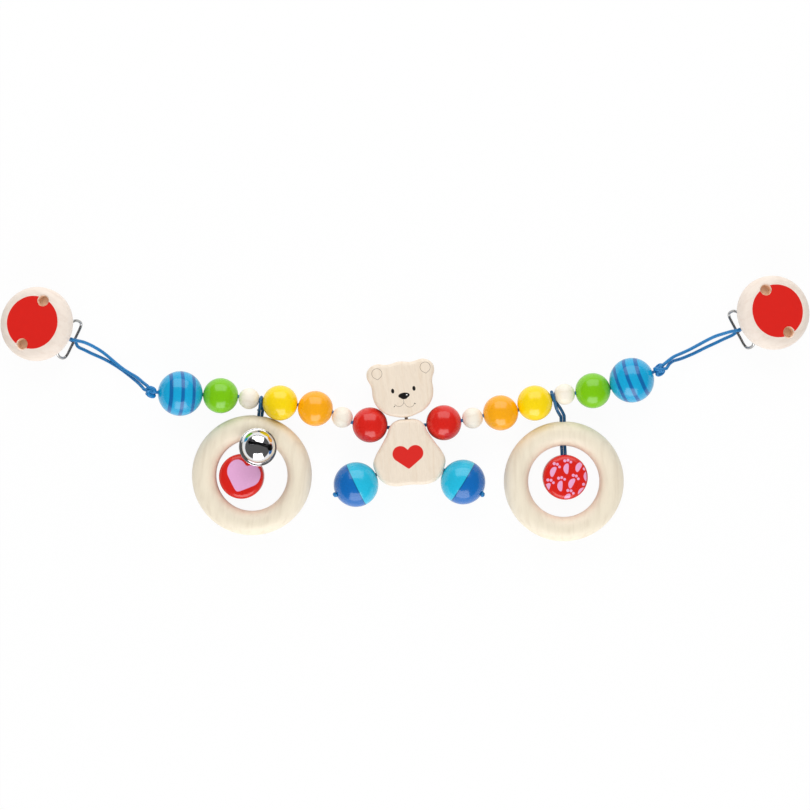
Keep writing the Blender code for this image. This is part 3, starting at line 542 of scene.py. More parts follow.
def bead(node, diameter, look, spin_joint, steps=56):
    """A turned ball with a bore and a softened mouth at each end of it."""
    radius, bore, lip = diameter / 2, bore_diameter / 2, bead_lip
    edge = math.asin((bore + lip) / radius)
    ball = arc(radius, edge, math.pi - edge, 26)
    top = ball[0][1]
    mouth = [(bore + out * lip, top - down * lip) for out, down in ((0, 1.4), (0.12, 0.5), (0.5, 0.1))]
    profile = mouth + ball + [(r, -h) for r, h in reversed(mouth)]
    home = aimed(spot(spin_joint), way_of(spin_joint))
    finish_piece(node, turned(profile, home, steps, closed=True), look)


bead_kinds = {kind: (bead_diameter, kind, f"{kind}_lacquer", None)
              for kind in ("red", "orange", "yellow", "green")}
bead_kinds["striped"] = (striped_diameter, "light blue", "blue_lacquer", banded)
for side in sides:
    for kind, (diameter, colour, slot, pattern) in bead_kinds.items():
        joint = f"{side}_{kind}_spin"
        home = aimed(spot(joint), way_of(joint))
        look = lacquer(f"{side}_{kind}_lacquer", lacquer_tones[colour], home, True, pattern)
        bead(f"{side}_{kind}_bead", diameter, look, joint)
    for kind in ("small_inner", "small_outer"):
        joint = f"{side}_{kind}_spin"
        home = aimed(spot(joint), (0, 0, 1), way_of(joint))
        look = wood(f"{side}_{kind}_wood", home, small_bead_tones, gloss=0.36, grain=0.5)
        bead(f"{side}_{kind}_bead", small_diameter, look, joint, 44)
    joint = f"{side}_foot_spin"
    way = way_of(joint)
    home = aimed(spot(joint), (way.x, way.y, 0))
    look = lacquer(f"{side}_foot_lacquer", foot_tone, home, False, two_tone)
    bead(f"{side}_foot", foot_diameter, look, joint)


# Shapes that are drawn on wood, as distances in metres that are below zero inside


def oval(u, v, centre, radii):
    du, dv = (u - centre[0]) / radii[0], (v - centre[1]) / radii[1]
    return ((du * du + dv * dv).root() - 1) * min(radii)


def heart(u, v, scale, softness=0.0004):
    """A heart whose lobes are 4.5 mm circles at scale 1, with its middle at 0, 0."""
    lobe, half, low, tip = 0.0045 * scale, 0.0043 * scale, -0.0007 * scale, -0.0097 * scale
    a = (u * u + softness * softness).root()
    reach = math.hypot(half, low - tip)
    slant = math.atan2(half, low - tip) + math.asin(lobe / reach)
    lobes = ((a - half) * (a - half) + (v - low) * (v - low)).root() - lobe
    flank = a * math.cos(slant) - (v - tip) * math.sin(slant)
    below = (a - half) * math.sin(slant) + (v - low) * math.cos(slant)
    return lobes.least(flank.most(below).most(v - low))


def stroke(u, v, centre, radius, width, cut):
    """A thin arc of a circle, kept where cut, which is (u share, v share, offset), is below zero."""
    du, dv = u - centre[0], v - centre[1]
    ring = abs((du * du + dv * dv).root() - radius) - width / 2
    return ring.most(u * cut[0] + v * cut[1] + cut[2])


def drop(u, v, centre, radius, tip):
    """A round shape that comes to a soft point below its middle, as a distance."""
    a, b = abs(u - centre[0]), v - centre[1]
    slant = math.asin(radius / tip)
    round_part = (a * a + b * b).root() - radius
    flank = a * math.cos(slant) - (b + tip) * math.sin(slant)
    below = a * math.sin(slant) + b * math.cos(slant)
    return round_part.least(flank.most(below))


# The bear

bear_thickness = 0.018
bear_edge_radius = 0.0026
body_half_width, body_half_height, body_tilt = 0.0206, 0.01865, math.radians(4)
head_half_width, head_half_height, head_tilt = 0.0194, 0.0161, math.radians(7.5)
body_outline_shares = ((0.0, 1.0), (0.25, 0.985), (0.447, 0.853), (0.56, 0.59), (0.75, 0.245), (0.93, -0.07),
                       (1.0, -0.30), (0.95, -0.55), (0.81, -0.82), (0.58, -0.985), (0.0, -1.0))
head_outline_shares = ((0.0, 0.99), (0.35, 0.93), (0.72, 0.985), (0.95, 0.81), (1.0, 0.58), (0.90, 0.20),
                       (0.895, -0.175), (0.82, -0.48), (0.59, -0.79), (0.35, -0.92), (0.0, -1.0))
print_height = 0.0165
shoulder_bore_length, neck_bore_length, chin_bore_length = 0.06, 0.0054, 0.0126
hip_hole_diameter, hip_hole_length = 0.0036, 0.0052


def board(shares, half_width, half_height, home):
    """A flat board cut to a smooth outline, its edges rounded, with its back on the frame's XY plane."""
    right = [(x * half_width, y * half_height) for x, y in shares]
    outline = right + [(-x, y) for x, y in reversed(right[1:-1])]
    shape = curve_shape("BEZIER", [(x, y, 0) for x, y in outline], True, dimensions="2D", fill_mode="BOTH",
                        extrude=bear_thickness / 2 - bear_edge_radius, bevel_depth=bear_edge_radius,
                        bevel_resolution=6, offset=-bear_edge_radius, resolution_u=10)
    middle = home @ Matrix.Translation((0, 0, bear_thickness / 2))
    bmesh.ops.transform(shape, matrix=middle, verts=shape.verts)
    return welded(shape)


def rod(point, way, diameter, length, steps=32, second=None):
    """A cylinder centred on a point, or a cone whose far end has the second diameter."""
    shape = bmesh.new()
    far = diameter if second is None else second
    bmesh.ops.create_cone(shape, cap_ends=True, segments=steps, radius1=diameter / 2, radius2=far / 2,
                          depth=length, matrix=aimed(point, way))
    return shape


def cut(shape, *cutters):
    """The shape with the cutters' solids taken out of it."""
    made = [placed("solid", as_mesh(solid)) for solid in (shape, *cutters)]
    for cutter in made[1:]:
        change = made[0].modifiers.new("cut", "BOOLEAN")
        change.operation = "DIFFERENCE"
        change.solver = "EXACT"
        change.object = cutter
    return outcome(*made)


def flat_faced(piece):
    """Keeps broad flat faces flat beside their rounded edges."""
    weighting = piece.modifiers.new("flat faces", "WEIGHTED_NORMAL")
    weighting.keep_sharp = True


def painted_body(look, x, y, z, base, roughness):
    """The red heart on the front of the body."""
    front = (print_height - z).inside(0.0002)
    red = heart(x + 0.0005, y, 1.0).inside(0.00025) * front
    print_mottle = look.noise(look.joined(x, y, 0), 500, 3)
    paint = look.mix(print_mottle * 0.25, print_red, darker(print_red, 0.75))
    return look.mix(red, base, paint), roughness - red * 0.06


def painted_head(look, x, y, z, base, roughness):
    """The face, with a painted highlight on the nose, and the lines in the ears."""
    front = (print_height - z).inside(0.0002)
    eyes = oval(x, y, (-0.00567, -0.00033), (0.0009, 0.00135)).least(
        oval(x, y, (0.00652, -0.00034), (0.0009, 0.00135)))
    nose_wide = oval(x, y, (0.0004, -0.0036), (0.00325, 0.0016))
    nose_low = oval(x, y, (0.0004, -0.0044), (0.0021, 0.00135))
    nose = nose_wide.least(nose_low)
    # A painted highlight: a small white glint on the nose.
    glint = oval(x, y, (0.0020, -0.0034), (0.00045, 0.0003))
    bridge = (abs(x + 0.0001 - (y + 0.0059) * 0.05) - 0.00011).most(abs(y + 0.0070) - 0.0012)
    left_smile = stroke(x, y, (-0.00295, -0.0067), 0.0028, 0.00022, (-0.187, 1, 0.00687))
    right_smile = stroke(x, y, (0.0031, -0.0077), 0.0029, 0.00022, (0.137, 1, 0.00808))
    ticks = oval(x * 0.8 + y * 0.6, y * 0.8 - x * 0.6, (-0.0101, -0.0038), (0.00055, 0.00022)).least(
        oval(x * 0.8 - y * 0.6, y * 0.8 + x * 0.6, (0.0101, -0.0036), (0.00055, 0.00022)))
    ears = (abs(drop(x, y, (-0.0133, 0.0106), 0.0029, 0.0035)) - 0.00012).least(
        abs(drop(x, y, (0.0144, 0.0108), 0.0029, 0.0035)) - 0.00012)
    lines = bridge.least(left_smile).least(right_smile).least(ears).inside(0.0001) * front
    base = look.mix(lines * 0.85, base, line_tone)
    blacks = eyes.least(nose).least(ticks).inside(0.00012) * front
    base = look.mix(blacks, base, ink)
    # The painted highlight goes on last, over the black nose.
    base = look.mix(glint.inside(0.0001) * front, base, (1, 1, 1))
    return base, roughness - blacks * 0.12


chin, neck_way = spot("head_turn"), way_of("head_turn")
body_home = Matrix.Rotation(body_tilt, 4, "Z")
head_turn = Matrix.Rotation(head_tilt, 4, "Z")
head_middle = chin + head_turn @ Vector((0, head_half_height, 0))
head_home = Matrix.Translation((head_middle.x, head_middle.y, 0)) @ head_turn
body_wood = wood("body_wood", body_home, bear_tones, (9, 1, 9), 0.40, painted_body, 0.25)
head_wood = wood("head_wood", head_home, bear_tones, (9, 1, 9), 0.40, painted_head, 0.25)

shoulders = {side: spot(f"{side}_bend_1") for side in sides}
hips = {side: spot(f"{side}_leg_swing") for side in sides}
chest, across = (shoulders["left"] + shoulders["right"]) / 2, shoulders["right"] - shoulders["left"]
body_cuts = [rod(chest, across, bore_diameter, shoulder_bore_length),
             rod(chin, neck_way, bore_diameter, neck_bore_length)]
for side in sides:
    body_cuts.append(rod(hips[side], way_of(f"{side}_foot_spin"), hip_hole_diameter, hip_hole_length))
body_shape = cut(board(body_outline_shares, body_half_width, body_half_height, body_home), *body_cuts)
flat_faced(finish_piece("bear_body", body_shape, body_wood, 50))
head_shape = cut(board(head_outline_shares, head_half_width, head_half_height, head_home),
                 rod(chin, neck_way, bore_diameter, chin_bore_length))
flat_faced(finish_piece("bear_head", head_shape, head_wood, 50))


# Cords


def cord_piece(node, shape, points, look=waxed_cord):
    """Finishes a cord, with its lay noted along its points."""
    piece = finish_piece(node, shape, look)
    note_lay(piece.data, points)
    return piece


def cord_through(node, points, look=waxed_cord):
    """A cord with round ends, so that two lengths that meet at a joint stay joined as they bend."""
    run = [points[0]]
    for start, end in zip(points, points[1:]):
        run += straight(start, end)[1:]
    shape = tube_shape(run, cord_diameter, 5)
    for point in (run[0], run[-1]):
        add_ball(shape, point, cord_diameter)
    cord_piece(node, shape, run, look)


def tight_knot(node, middle, way, turn):
    """An overhand knot drawn tight, its three crossings round the cord."""
    home = aimed(middle, way) @ Matrix.Rotation(turn, 4, "Z")
    reach = (knot_diameter - knot_cord_diameter) / 6
    points = []
    for i in range(72):
        t = 2 * math.pi * i / 72
        points.append(home @ Vector(((math.sin(t) + 2 * math.sin(2 * t)) * reach,
                                     (math.cos(t) - 2 * math.cos(2 * t)) * reach,
                                     -math.sin(3 * t) * knot_diameter * 0.24)))
    shape = tube_shape(points, knot_cord_diameter, 5, cyclic=True)
    add_ball(shape, home, knot_diameter * 0.60, (24, 14))
    cord_piece(node, shape, points)


links = (("red",), ("small_inner", "orange"), ("yellow",), ("small_outer", "green"), ("striped",))
past_last_bead = 0.002
knot_diameter, knot_cord_diameter, knot_turns = 0.0076, 0.0023, {"left": 0.5, "right": 1.4}
knots = {}
leg_start_depth, leg_end_gap = 0.0018, 0.0003
leg_end_balls = ((0.0002, 0.0034), (0.0009, 0.0028))
neck_cord_start, neck_cord_end = -0.0024, 0.006
for side in sides:
    for number, link in enumerate(links, start=1):
        points = [spot(f"{side}_bend_{number}")]
        if len(link) == 2:
            small = f"{side}_{link[0]}_spin"
            points.append(spot(small) + way_of(small) * (small_diameter + fit_gap) / 2)
        if number < len(links):
            points.append(spot(f"{side}_bend_{number + 1}"))
        else:
            last = f"{side}_striped_spin"
            points.append(spot(last) + way_of(last) * (striped_diameter / 2 + past_last_bead))
        cord_through(f"{side}_cord_link_{number}", points)
    low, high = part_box(f"{side}_knot")
    knots[side] = (low + high) / 2
    tight_knot(f"{side}_knot", knots[side], way_of(f"{side}_striped_spin"), knot_turns[side])

    foot, way = spot(f"{side}_foot_spin"), way_of(f"{side}_foot_spin")
    heel = foot + way * (foot_diameter / 2 + leg_end_gap)
    run = straight(hips[side] - way * leg_start_depth, heel)
    shape = tube_shape(run, cord_diameter, 5)
    for out, size in leg_end_balls:
        turned_off = Matrix.Rotation(out * 900, 4, "Z") @ Matrix.Rotation(0.3, 4, "X")
        home = aimed(heel + way * out, way) @ turned_off
        add_ball(shape, home @ Matrix.Diagonal((1, 1, 0.45, 1)), size, (24, 14))
    cord_piece(f"{side}_leg_cord", shape, run)

cord_through("centre_cord", [shoulders["left"], shoulders["right"]])
cord_through("neck_cord", [chin + neck_way * along for along in (neck_cord_start, neck_cord_end)], pale_cord)

for side in sides:
    route = smooth_route(loop_routes[side], loop_spacing)
    run = straight(route[0].lerp(knots[side], 0.6), route[0], loop_spacing)[:-1] + route
    run += straight(route[-1], route[-1].lerp(knots[side], 0.6), loop_spacing)[1:]
    loop = cord_piece(f"{side}_loop_cord", tube_shape(run, cord_diameter, 5), run)


# Pendants

ring_outer_diameter, ring_tube_diameter = 0.0688, 0.0140
disc_diameter, disc_thickness, disc_edge_radius = 0.0257, 0.0124, 0.0035
disc_cord_depth = 0.018
pendant_lead, lead_spacing, hole_spacing = 0.003, 0.0005, 0.0008
ring_hole_diameter, ring_hole_flare, hole_sides = 0.0042, 0.0007, 36
heart_tilt = math.radians(-21)
footprint_places = ((-0.0069, 0.0039, -30), (0.0005, 0.0057, -10), (0.0078, 0.0066, -36),
                    (-0.0102, -0.0054, -25), (-0.0030, -0.0042, -9), (0.0037, -0.0027, -33),
                    (0.0120, 0.0012, -5), (0.0012, -0.0114, -25), (0.0093, -0.0078, -38))


def doubled_cord(node, route, spreads, turns):
    """Two strands side by side along a route, joined by a bight at its start, and turned round each other."""
    way = (route[1] - route[0]).normalized()
    strands = ([], [])
    for i, point in enumerate(route):
        ahead = route[min(i + 1, len(route) - 1)] - route[max(i - 1, 0)]
        aside = Vector((math.cos(turns[i]), math.sin(turns[i]), 0)) * spreads[i]
        off = aimed((0, 0, 0), ahead).to_3x3() @ aside
        strands[0].append(point + off)
        strands[1].append(point - off)
    first = strands[0][0] - route[0]
    bight = [route[0] + first * math.cos(a) - way * first.length * math.sin(a)
             for a in (math.pi * i / 14 for i in range(1, 14))]
    points = list(reversed(strands[0])) + bight + strands[1]
    shape = tube_shape(points, strand_diameter)
    for point in (points[0], points[-1]):
        add_ball(shape, point, strand_diameter, (16, 10))
    cord_piece(node, shape, points, pendant_cord)


def hearted(look, x, y, z, colour):
    """A broad pink heart on each face of the disc, tilted a little."""
    c, s = math.cos(heart_tilt), math.sin(heart_tilt)
    u = ((x - 0.0009) * c + y * s) / 1.045
    v = (y * c - (x - 0.0009) * s - 0.0032) / 1.3
    on_face = (disc_thickness / 2 - 0.0018 - abs(z)).inside(0.0003)
    shape = heart(u, v, 1.06, 0.0012).least(oval(u, v, (0, -0.0034), (0.0064, 0.0038)))
    return look.mix(shape.inside(0.0003) * on_face, colour, heart_pink)


def footprints(look, x, y, z, colour):
    """Pink footprints on each face of the disc: a bean for the sole and three toes over it."""
    on_face = (disc_thickness / 2 - 0.0012 - abs(z)).inside(0.0003)
    mark = None
    for across, up, turn in footprint_places:
        c, s = math.cos(math.radians(turn)), math.sin(math.radians(turn))
        u = (x - across) * c + (y - up) * s
        v = (y - up) * c - (x - across) * s
        bend = u - v * v * 70 + 0.0003
        sole = oval(bend, v, (0, -0.00065), (0.0015, 0.0030))
        toes = oval(u, v, (-0.0017, 0.0036), (0.00085, 0.00085)).least(
            oval(u, v, (0, 0.0042), (0.0008, 0.0008))).least(oval(u, v, (0.0018, 0.0035), (0.00075, 0.00075)))
        shape = sole.least(toes)
        mark = shape if mark is None else mark.least(shape)
    return look.mix(mark.inside(0.00022) * on_face, colour, footprint_pink)


beside = (strand_diameter + strand_gap) / 2
over = (cord_diameter + strand_diameter) / 2 + fit_gap
for side in sides:
    hang, middle, up = spot(f"{side}_pendant_swing"), spot(f"{side}_ring_twist"), way_of(f"{side}_ring_twist")
    outer = middle + up * ring_outer_diameter / 2
    inner = outer - up * ring_tube_diameter
    both_ways = way_of(f"{side}_yellow_spin") + way_of(f"{side}_small_outer_spin")
    leave_way = Vector((both_ways.y, -both_ways.x, 0)).normalized() * sides[side]
    lead_end, lead_in = hang + leave_way * pendant_lead, outer + up * pendant_lead
    lead = straight(hang, lead_end, lead_spacing)
    twisted = straight(lead_end, lead_in, lead_spacing)
    route = lead[:-1] + twisted[:-1] + straight(lead_in, inner, hole_spacing)
    shares = [min(1, max(0, (i - len(lead) + 1) / (len(twisted) - 1))) for i in range(len(route))]
    doubled_cord(f"{side}_pendant_cord", route, [over + (beside - over) * share for share in shares],
                 [math.pi / 2 * share for share in shares])

    home = aimed(middle, (0, 0, 1), up)
    ring_wood = wood(f"{side}_ring_wood", home, ring_tones, (1, 7, 7), 0.38, None, 0.12, 0.35)
    shape = hoop((ring_outer_diameter - ring_tube_diameter) / 2, ring_tube_diameter, home, 40, 120)
    half, bore, flare = ring_tube_diameter / 2, ring_hole_diameter / 2, ring_hole_flare
    mouth = [(0, half + flare), (bore + flare, half + flare), (bore, half - flare)]
    hole = turned(mouth + [(r, -h) for r, h in reversed(mouth)], aimed((outer + inner) / 2, up), hole_sides)
    finish_piece(f"{side}_ring", cut(shape, hole), ring_wood, 40)

    disc_middle, drop_way = spot(f"{side}_disc_spin"), way_of(f"{side}_disc_spin")
    disc_edge = disc_middle - drop_way * disc_diameter / 2
    route = straight(disc_edge + drop_way * disc_cord_depth, inner, hole_spacing)
    doubled_cord(f"{side}_disc_cord", route, [beside] * len(route), [math.pi / 2] * len(route))
    half, rounding = disc_thickness / 2, disc_edge_radius
    side_arc = arc(rounding, 0, math.pi / 2, 12, (disc_diameter / 2 - rounding, half - rounding))
    profile = [(0, half)] + side_arc + [(r, -h) for r, h in reversed(side_arc)] + [(0, -half)]
    home = aimed(disc_middle, (0, 0, 1), (1, 0, 0))
    hole_depth = disc_cord_depth + strand_diameter + fit_gap
    hole = rod(disc_edge, drop_way, ring_hole_diameter, 2 * hole_depth, hole_sides)
    pattern = hearted if side == "left" else footprints
    look = lacquer(f"{side}_disc_lacquer", lacquer_tones["red"], home, False, pattern)
    flat_faced(finish_piece(f"{side}_disc", cut(turned(profile, home, 96), hole), look, 40))


# The bell

bell_diameter, bell_rim_diameter, bell_rim_thickness, bell_wall = 0.0196, 0.0218, 0.0012, 0.0006
bell_slot_length, bell_slot_width, bell_slot_hole = 0.0107, 0.0018, 0.0038
bell_slot_turn = math.radians(-47)
bell_rim_fold = 0.0005
eyelet_inner, eyelet_wire = 0.0064, 0.0012
pellet_diameter = 0.005

eyelet_middle, bell_way = spot("bell_swing"), way_of("bell_swing")
bell_middle = spot("bell_pellet_roll")
bell_up = (bell_middle - eyelet_middle).normalized()
bell_home = aimed(bell_middle, bell_up)
chrome = metal("bell_chrome", (0.86, 0.86, 0.87), 0.05, bell_home, scratches=0.25)
eyelet_chrome = metal("eyelet_chrome", (0.80, 0.80, 0.82), 0.12, bell_home, scratches=0.2)
pellet_steel = metal("pellet_steel", (0.52, 0.52, 0.54), 0.3, bell_home, scratches=0.2)
radius, rim, shelf, seam = bell_diameter / 2, bell_rim_diameter / 2, bell_rim_thickness / 2, fit_gap / 2
fold = bell_rim_fold
start = math.acos((shelf + fold) / radius)
outer_run = arc(radius, 0, start, 30)
edge_run = [(outer_run[-1][0] + fold * (1 - math.cos(a)), outer_run[-1][1] - fold * math.sin(a))
            for a in (math.pi / 2 * i / 5 for i in range(1, 6))]
lip_run = [(rim - shelf / 2 + shelf / 2 * math.sin(a), seam + (shelf - seam) * (1 + math.cos(a)) / 2)
           for a in (math.pi * i / 8 for i in range(9))]
inside_run = arc(radius - bell_wall, math.acos(seam / (radius - bell_wall)), 0, 30)
shell_profile = outer_run + edge_run + lip_run + inside_run

slot_home = bell_home @ Matrix.Rotation(bell_slot_turn, 4, "Z") @ Matrix.Translation((0, 0, radius))
slot_cut = bmesh.new()
bmesh.ops.create_cube(slot_cut, size=1,
                      matrix=slot_home @ Matrix.Diagonal((bell_slot_length, bell_slot_width, radius, 1)))
slot_ends = [rod(slot_home @ Vector((bell_slot_length / 2 * end, 0, 0)), bell_up, bell_slot_hole, radius)
             for end in (-1, 1)]
upper_shell = cut(turned(shell_profile, bell_home, 96), slot_cut, *slot_ends)
finish_piece("bell_upper_shell", upper_shell, chrome, 40)
lower_shell = turned(shell_profile, bell_home @ Matrix.Rotation(math.pi, 4, "X"), 96)
finish_piece("bell_lower_shell", lower_shell, chrome, 40)

eyelet_home = aimed(eyelet_middle, bell_way, bell_up)
eyelet = hoop((eyelet_inner + eyelet_wire) / 2, eyelet_wire, eyelet_home, 20, 48)
finish_piece("bell_eyelet", eyelet, eyelet_chrome)
low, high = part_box("bell_pellet")
pellet = bmesh.new()
add_ball(pellet, (low + high) / 2, pellet_diameter, (28, 18))
finish_piece("bell_pellet", pellet, pellet_steel)


# The clips

dome_diameter, dome_height, dome_face_diameter = 0.0425, 0.0095, 0.0303
dome_edge_height, dome_edge_radius = 0.0024, 0.0010
dome_hole_diameter, dome_hole_across, dome_hole_floor = 0.0062, 0.0135, 0.00405
dome_hole_flare, dome_hole_lean, dome_hole_mouth_depth = 0.0022, 0.16, 0.0016
clip_slope, clip_height = math.radians(12), 0.0088
plate_thickness, plate_width, plate_back, plate_front = 0.0010, 0.018, 0.016, 0.0156
ear_back, ear_front, ear_depth, ear_thickness = 0.0128, 0.0062, 0.0056, 0.0010
pin_diameter, pin_head_diameter, pin_head_thickness = 0.0016, 0.0026, 0.0006
lever_thickness, lever_half_width, lever_front, lever_back = 0.0010, 0.0074, 0.0125, 0.0104
lever_nose_front, lever_nose_height, lever_rounding = 0.0062, 0.0048, 0.00025
pad_thickness, pad_back, pad_front, pad_half_width = 0.0012, 0.014, 0.0068, 0.0062
roll_diameter, roll_half_length, roll_forward, roll_drop = 0.0034, 0.0074, 0.0168, 0.0008
bail_wire, bail_half_width, bail_length, bail_slope = 0.0016, 0.0116, 0.0085, math.radians(-55.5)
bail_outline_shares = ((0.0, 0.30), (0.0, 0.74), (0.14, 0.91), (0.45, 1.0), (0.82, 0.97), (0.98, 0.78),
                       (1.0, 0.30))


def rounded(shape, rounding):
    """The shape with all its edges rounded."""
    bmesh.ops.bevel(shape, geom=shape.edges[:], offset=rounding, offset_type="OFFSET", segments=3,
                    profile=0.5, affect="EDGES", material=-1)
    return shape


def block(low, high, home, rounding=0.0002):
    """A box between two corners of a frame, with rounded edges."""
    low, high = Vector(low), Vector(high)
    shape = bmesh.new()
    bmesh.ops.create_cube(shape, size=1, matrix=Matrix.Translation((low + high) / 2)
                          @ Matrix.Diagonal((*(high - low), 1)))
    bmesh.ops.transform(rounded(shape, rounding), matrix=home, verts=shape.verts)
    return shape


def joined(*shapes):
    """Several shapes as one."""
    whole = bmesh.new()
    for shape in shapes:
        whole.from_mesh(as_mesh(shape))
    return whole


def painted_dome(look, x, y, z, base, roughness):
    """The flat red face of a dome, its edge a little uneven, with bare wood in its two holes."""
    radius = (x * x + y * y).root()
    wander = (look.noise(look.joined(x, y, 0), 90, 2) - 0.5) * 0.0005
    face = (radius + wander - dome_face_diameter / 2).inside(0.00015)
    face = face * (dome_height - 0.0004 - z).inside(0.0002)
    mottle = look.noise(look.joined(x, y, z), 300, 3)
    paint = look.mix(mottle * 0.22, print_red, darker(print_red, 0.7))
    off_hole = abs(y) - dome_hole_across
    hole = (x * x + off_hole * off_hole).root() - dome_hole_diameter / 2 - 0.0002
    in_hole = hole.inside(0.0002) * (z - dome_height + 0.0009).inside(0.0004)
    bare = look.mix(in_hole, base, bare_hole_tone)
    return look.mix(face, bare, paint), roughness - face * 0.12


pad_look = Look("white_pad")
pad_speckle = pad_look.noise(pad_look.object_place(), 900, 2)
pad_look.set(Base_Color=pad_tone, Roughness=0.45 + pad_speckle * 0.15)

for side in sides:
    roll_point, pin_point = spot(f"{side}_clip_swing"), spot(f"{side}_lever_open")
    crosswise = way_of(f"{side}_clip_swing")
    turn = Matrix.Rotation(math.atan2(-crosswise.x, crosswise.y), 4, "Z")
    slope = (Matrix.Translation(roll_point) @ turn @ Matrix.Rotation(-clip_slope, 4, "Y")
             @ Matrix.Translation((-roll_forward, 0, roll_drop)))
    ground = slope @ Matrix.Rotation(clip_slope, 4, "Y") @ Matrix.Translation((0, 0, -clip_height))
    bail_home = Matrix.Translation(roll_point) @ turn @ Matrix.Rotation(-bail_slope, 4, "Y")
    clip_across, clip_up = (slope.to_3x3() @ Vector(way) for way in ((0, 1, 0), (0, 0, 1)))
    plate_steel = metal(f"{side}_plate_steel", (0.62, 0.62, 0.64), 0.22, slope, 0.12, 0.4)
    wire_steel = metal(f"{side}_wire_steel", (0.50, 0.49, 0.48), 0.16, bail_home, 0.05, 0.4)

    radius, face = dome_diameter / 2, dome_face_diameter / 2
    bow_height = dome_height - dome_edge_height
    bow_run = [(face + (radius - face) * x, dome_edge_height + bow_height * z)
               for x, z in arc(1, 0, math.pi / 2, 28)]
    foot_run = arc(dome_edge_radius, math.pi / 2, math.pi, 5, (radius - dome_edge_radius, dome_edge_radius))
    dome_home = slope @ Matrix.Translation((0, 0, plate_thickness + fit_gap))
    cuts = []
    for way in (-1, 1):
        middle = dome_home @ Vector((0, way * dome_hole_across, dome_hole_floor + dome_height))
        cuts.append(rod(middle, clip_up, dome_hole_diameter, 2 * dome_height, 40))
        mouth = dome_home @ Vector((0, way * (dome_hole_across + 0.0001), dome_height))
        cuts.append(rod(mouth, clip_up + clip_across * way * dome_hole_lean, dome_hole_diameter,
                        dome_hole_mouth_depth, 40, dome_hole_diameter + dome_hole_flare))
    dome_wood = wood(f"{side}_dome_wood", dome_home, dome_tones, (1, 8, 8), 0.42, painted_dome, 0.15, 0.4)
    dome_wood.set(Specular_IOR_Level=0.3, Coat_Weight=0.05)
    dome = cut(turned([(0, dome_height)] + bow_run + foot_run + [(0, 0)], dome_home, 112), *cuts)
    flat_faced(finish_piece(f"{side}_clip_dome", dome, dome_wood, 40))

    half_width = plate_width / 2
    pieces = [block((-plate_back, -half_width, 0), (plate_front, half_width, plate_thickness), slope)]
    for way in (-1, 1):
        inner, outer = sorted((way * (half_width - ear_thickness), way * half_width))
        pieces.append(block((-ear_back, inner, -ear_depth), (-ear_front, outer, plate_thickness / 2), slope))
    pieces.append(cut(rod(roll_point, clip_across, roll_diameter, 2 * roll_half_length, 40),
                      rod(roll_point, clip_across, bail_wire + 2 * fit_gap, 3 * roll_half_length)))
    finish_piece(f"{side}_clip_plate", joined(*pieces), plate_steel)

    head, shank, half_pin = pin_head_diameter / 2, pin_diameter / 2, half_width + fit_gap
    profile = [(head * x, half_pin + pin_head_thickness * z) for x, z in arc(1, 0, math.pi / 2, 8)]
    profile += [(head, half_pin), (shank, half_pin)]
    profile += [(r, -h) for r, h in reversed(profile)]
    finish_piece(f"{side}_clip_pin", turned(profile, aimed(pin_point, clip_across), 32), plate_steel)

    pad = block((-pad_back, -pad_half_width, -fit_gap - pad_thickness),
                (-pad_front, pad_half_width, -fit_gap), slope, 0.0003)
    finish_piece(f"{side}_clip_pad", pad, pad_look)

    pin = ground.inverted() @ pin_point
    back, nose = -lever_back, -lever_nose_front
    outline = [(lever_front, 0), (lever_front, lever_thickness), (nose, lever_thickness),
               (nose, pin.z + shank), (pin.x, lever_nose_height),
               ((pin.x + back) / 2, lever_nose_height - lever_thickness / 2), (back, pin.z), (back, 0)]
    shape = bmesh.new()
    side_face = shape.faces.new([shape.verts.new((x, -lever_half_width, z)) for x, z in outline])
    pushed = bmesh.ops.extrude_face_region(shape, geom=[side_face])
    moved = [corner for corner in pushed["geom"] if isinstance(corner, bmesh.types.BMVert)]
    bmesh.ops.translate(shape, verts=moved, vec=(0, 2 * lever_half_width, 0))
    bmesh.ops.recalc_face_normals(shape, faces=shape.faces)
    bmesh.ops.transform(rounded(shape, lever_rounding), matrix=ground, verts=shape.verts)
    lever = cut(shape, rod(pin_point, clip_across, pin_diameter + 2 * fit_gap, 3 * lever_half_width))
    finish_piece(f"{side}_clip_lever", lever, plate_steel)

    half = [(along * bail_length, across * bail_half_width) for along, across in bail_outline_shares]
    outline = half + [(along, -across) for along, across in reversed(half)]
    route = smooth_route([(along, across, 0) for along, across in outline], 0.0006, cyclic=True)
    bail = tube_shape([bail_home @ point for point in route], bail_wire, 6, cyclic=True)
    finish_piece(f"{side}_clip_bail", bail, wire_steel)


# Table, lights and view


def panel(name, place, size, power):
    """A plain soft light, pointed at the middle of the table."""
    data = bpy.data.lights.new(name, "AREA")
    data.shape = "RECTANGLE"
    data.size, data.size_y = size
    data.energy = power
    placed(name, data).matrix_world = aimed(place, place, (1, 0, 0))


panel("upper_panel", (0.0, 1.02, 0.64), (1.6, 1.1), 12)
panel("lower_panel", (0.0, -1.1, 0.49), (1.2, 1.0), 12)

table_size, table_drop = 4, 0.0002
camera_white, mirrored_white = 0.95, 0.3
table_shape = bmesh.new()
bmesh.ops.create_grid(table_shape, x_segments=1, y_segments=1, size=table_size,
                      matrix=Matrix.Translation((0, 0, -table_drop)))
table_mesh = as_mesh(table_shape, "table")
table_look = Look("white_table")
table_look.set(Base_Color=(0.92, 0.92, 0.92), Roughness=0.9, Specular_IOR_Level=0.1)
white = (table_look.ray_is("Camera") * camera_white).most(table_look.ray_is("Glossy") * mirrored_white)
glow = table_look.node("Emission", {}, {"Color": (1, 1, 1), "Strength": 1.0})
lit = Number(table_look, table_look.shader.outputs[0])
blend = table_look.node("MixShader", {}, {0: white, 1: lit, 2: glow})
table_look.tree.links.new(blend.socket, table_look.tree.nodes["Material Output"].inputs["Surface"])
table_mesh.materials.append(table_look.owner)
placed("table", table_mesh)

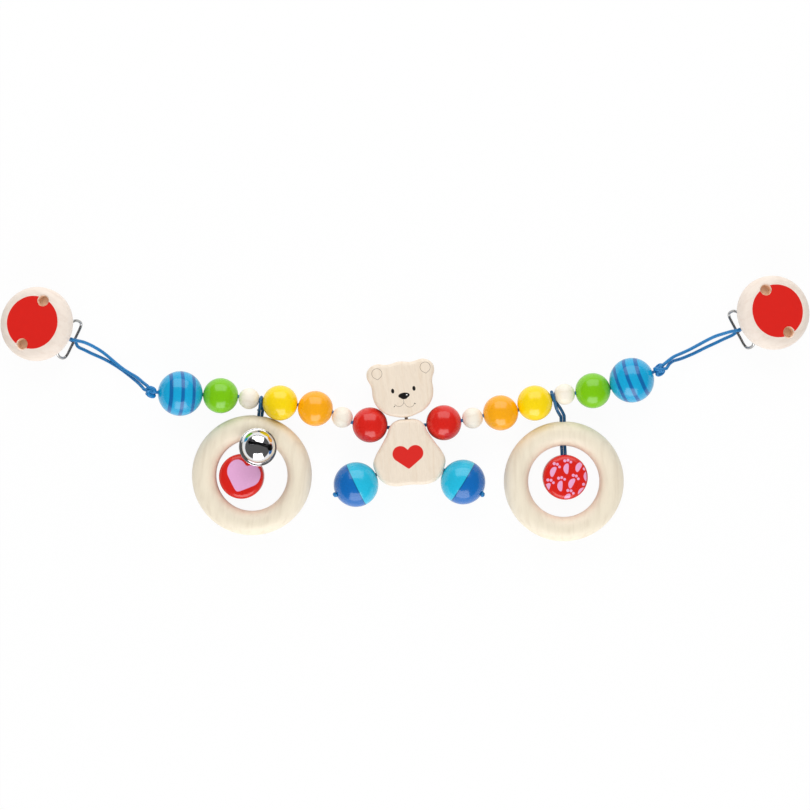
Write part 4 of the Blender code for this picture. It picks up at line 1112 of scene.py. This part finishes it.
air_level, mirrored_air_level = 0.46, 0.10
scene.world = bpy.data.worlds.new("studio")
air = Look("studio", scene.world, "Background")
air.set(Color=(1, 1, 1), Strength=air.ray_is("Glossy") * (mirrored_air_level - air_level) + air_level)

scene.view_settings.view_transform = "Standard"
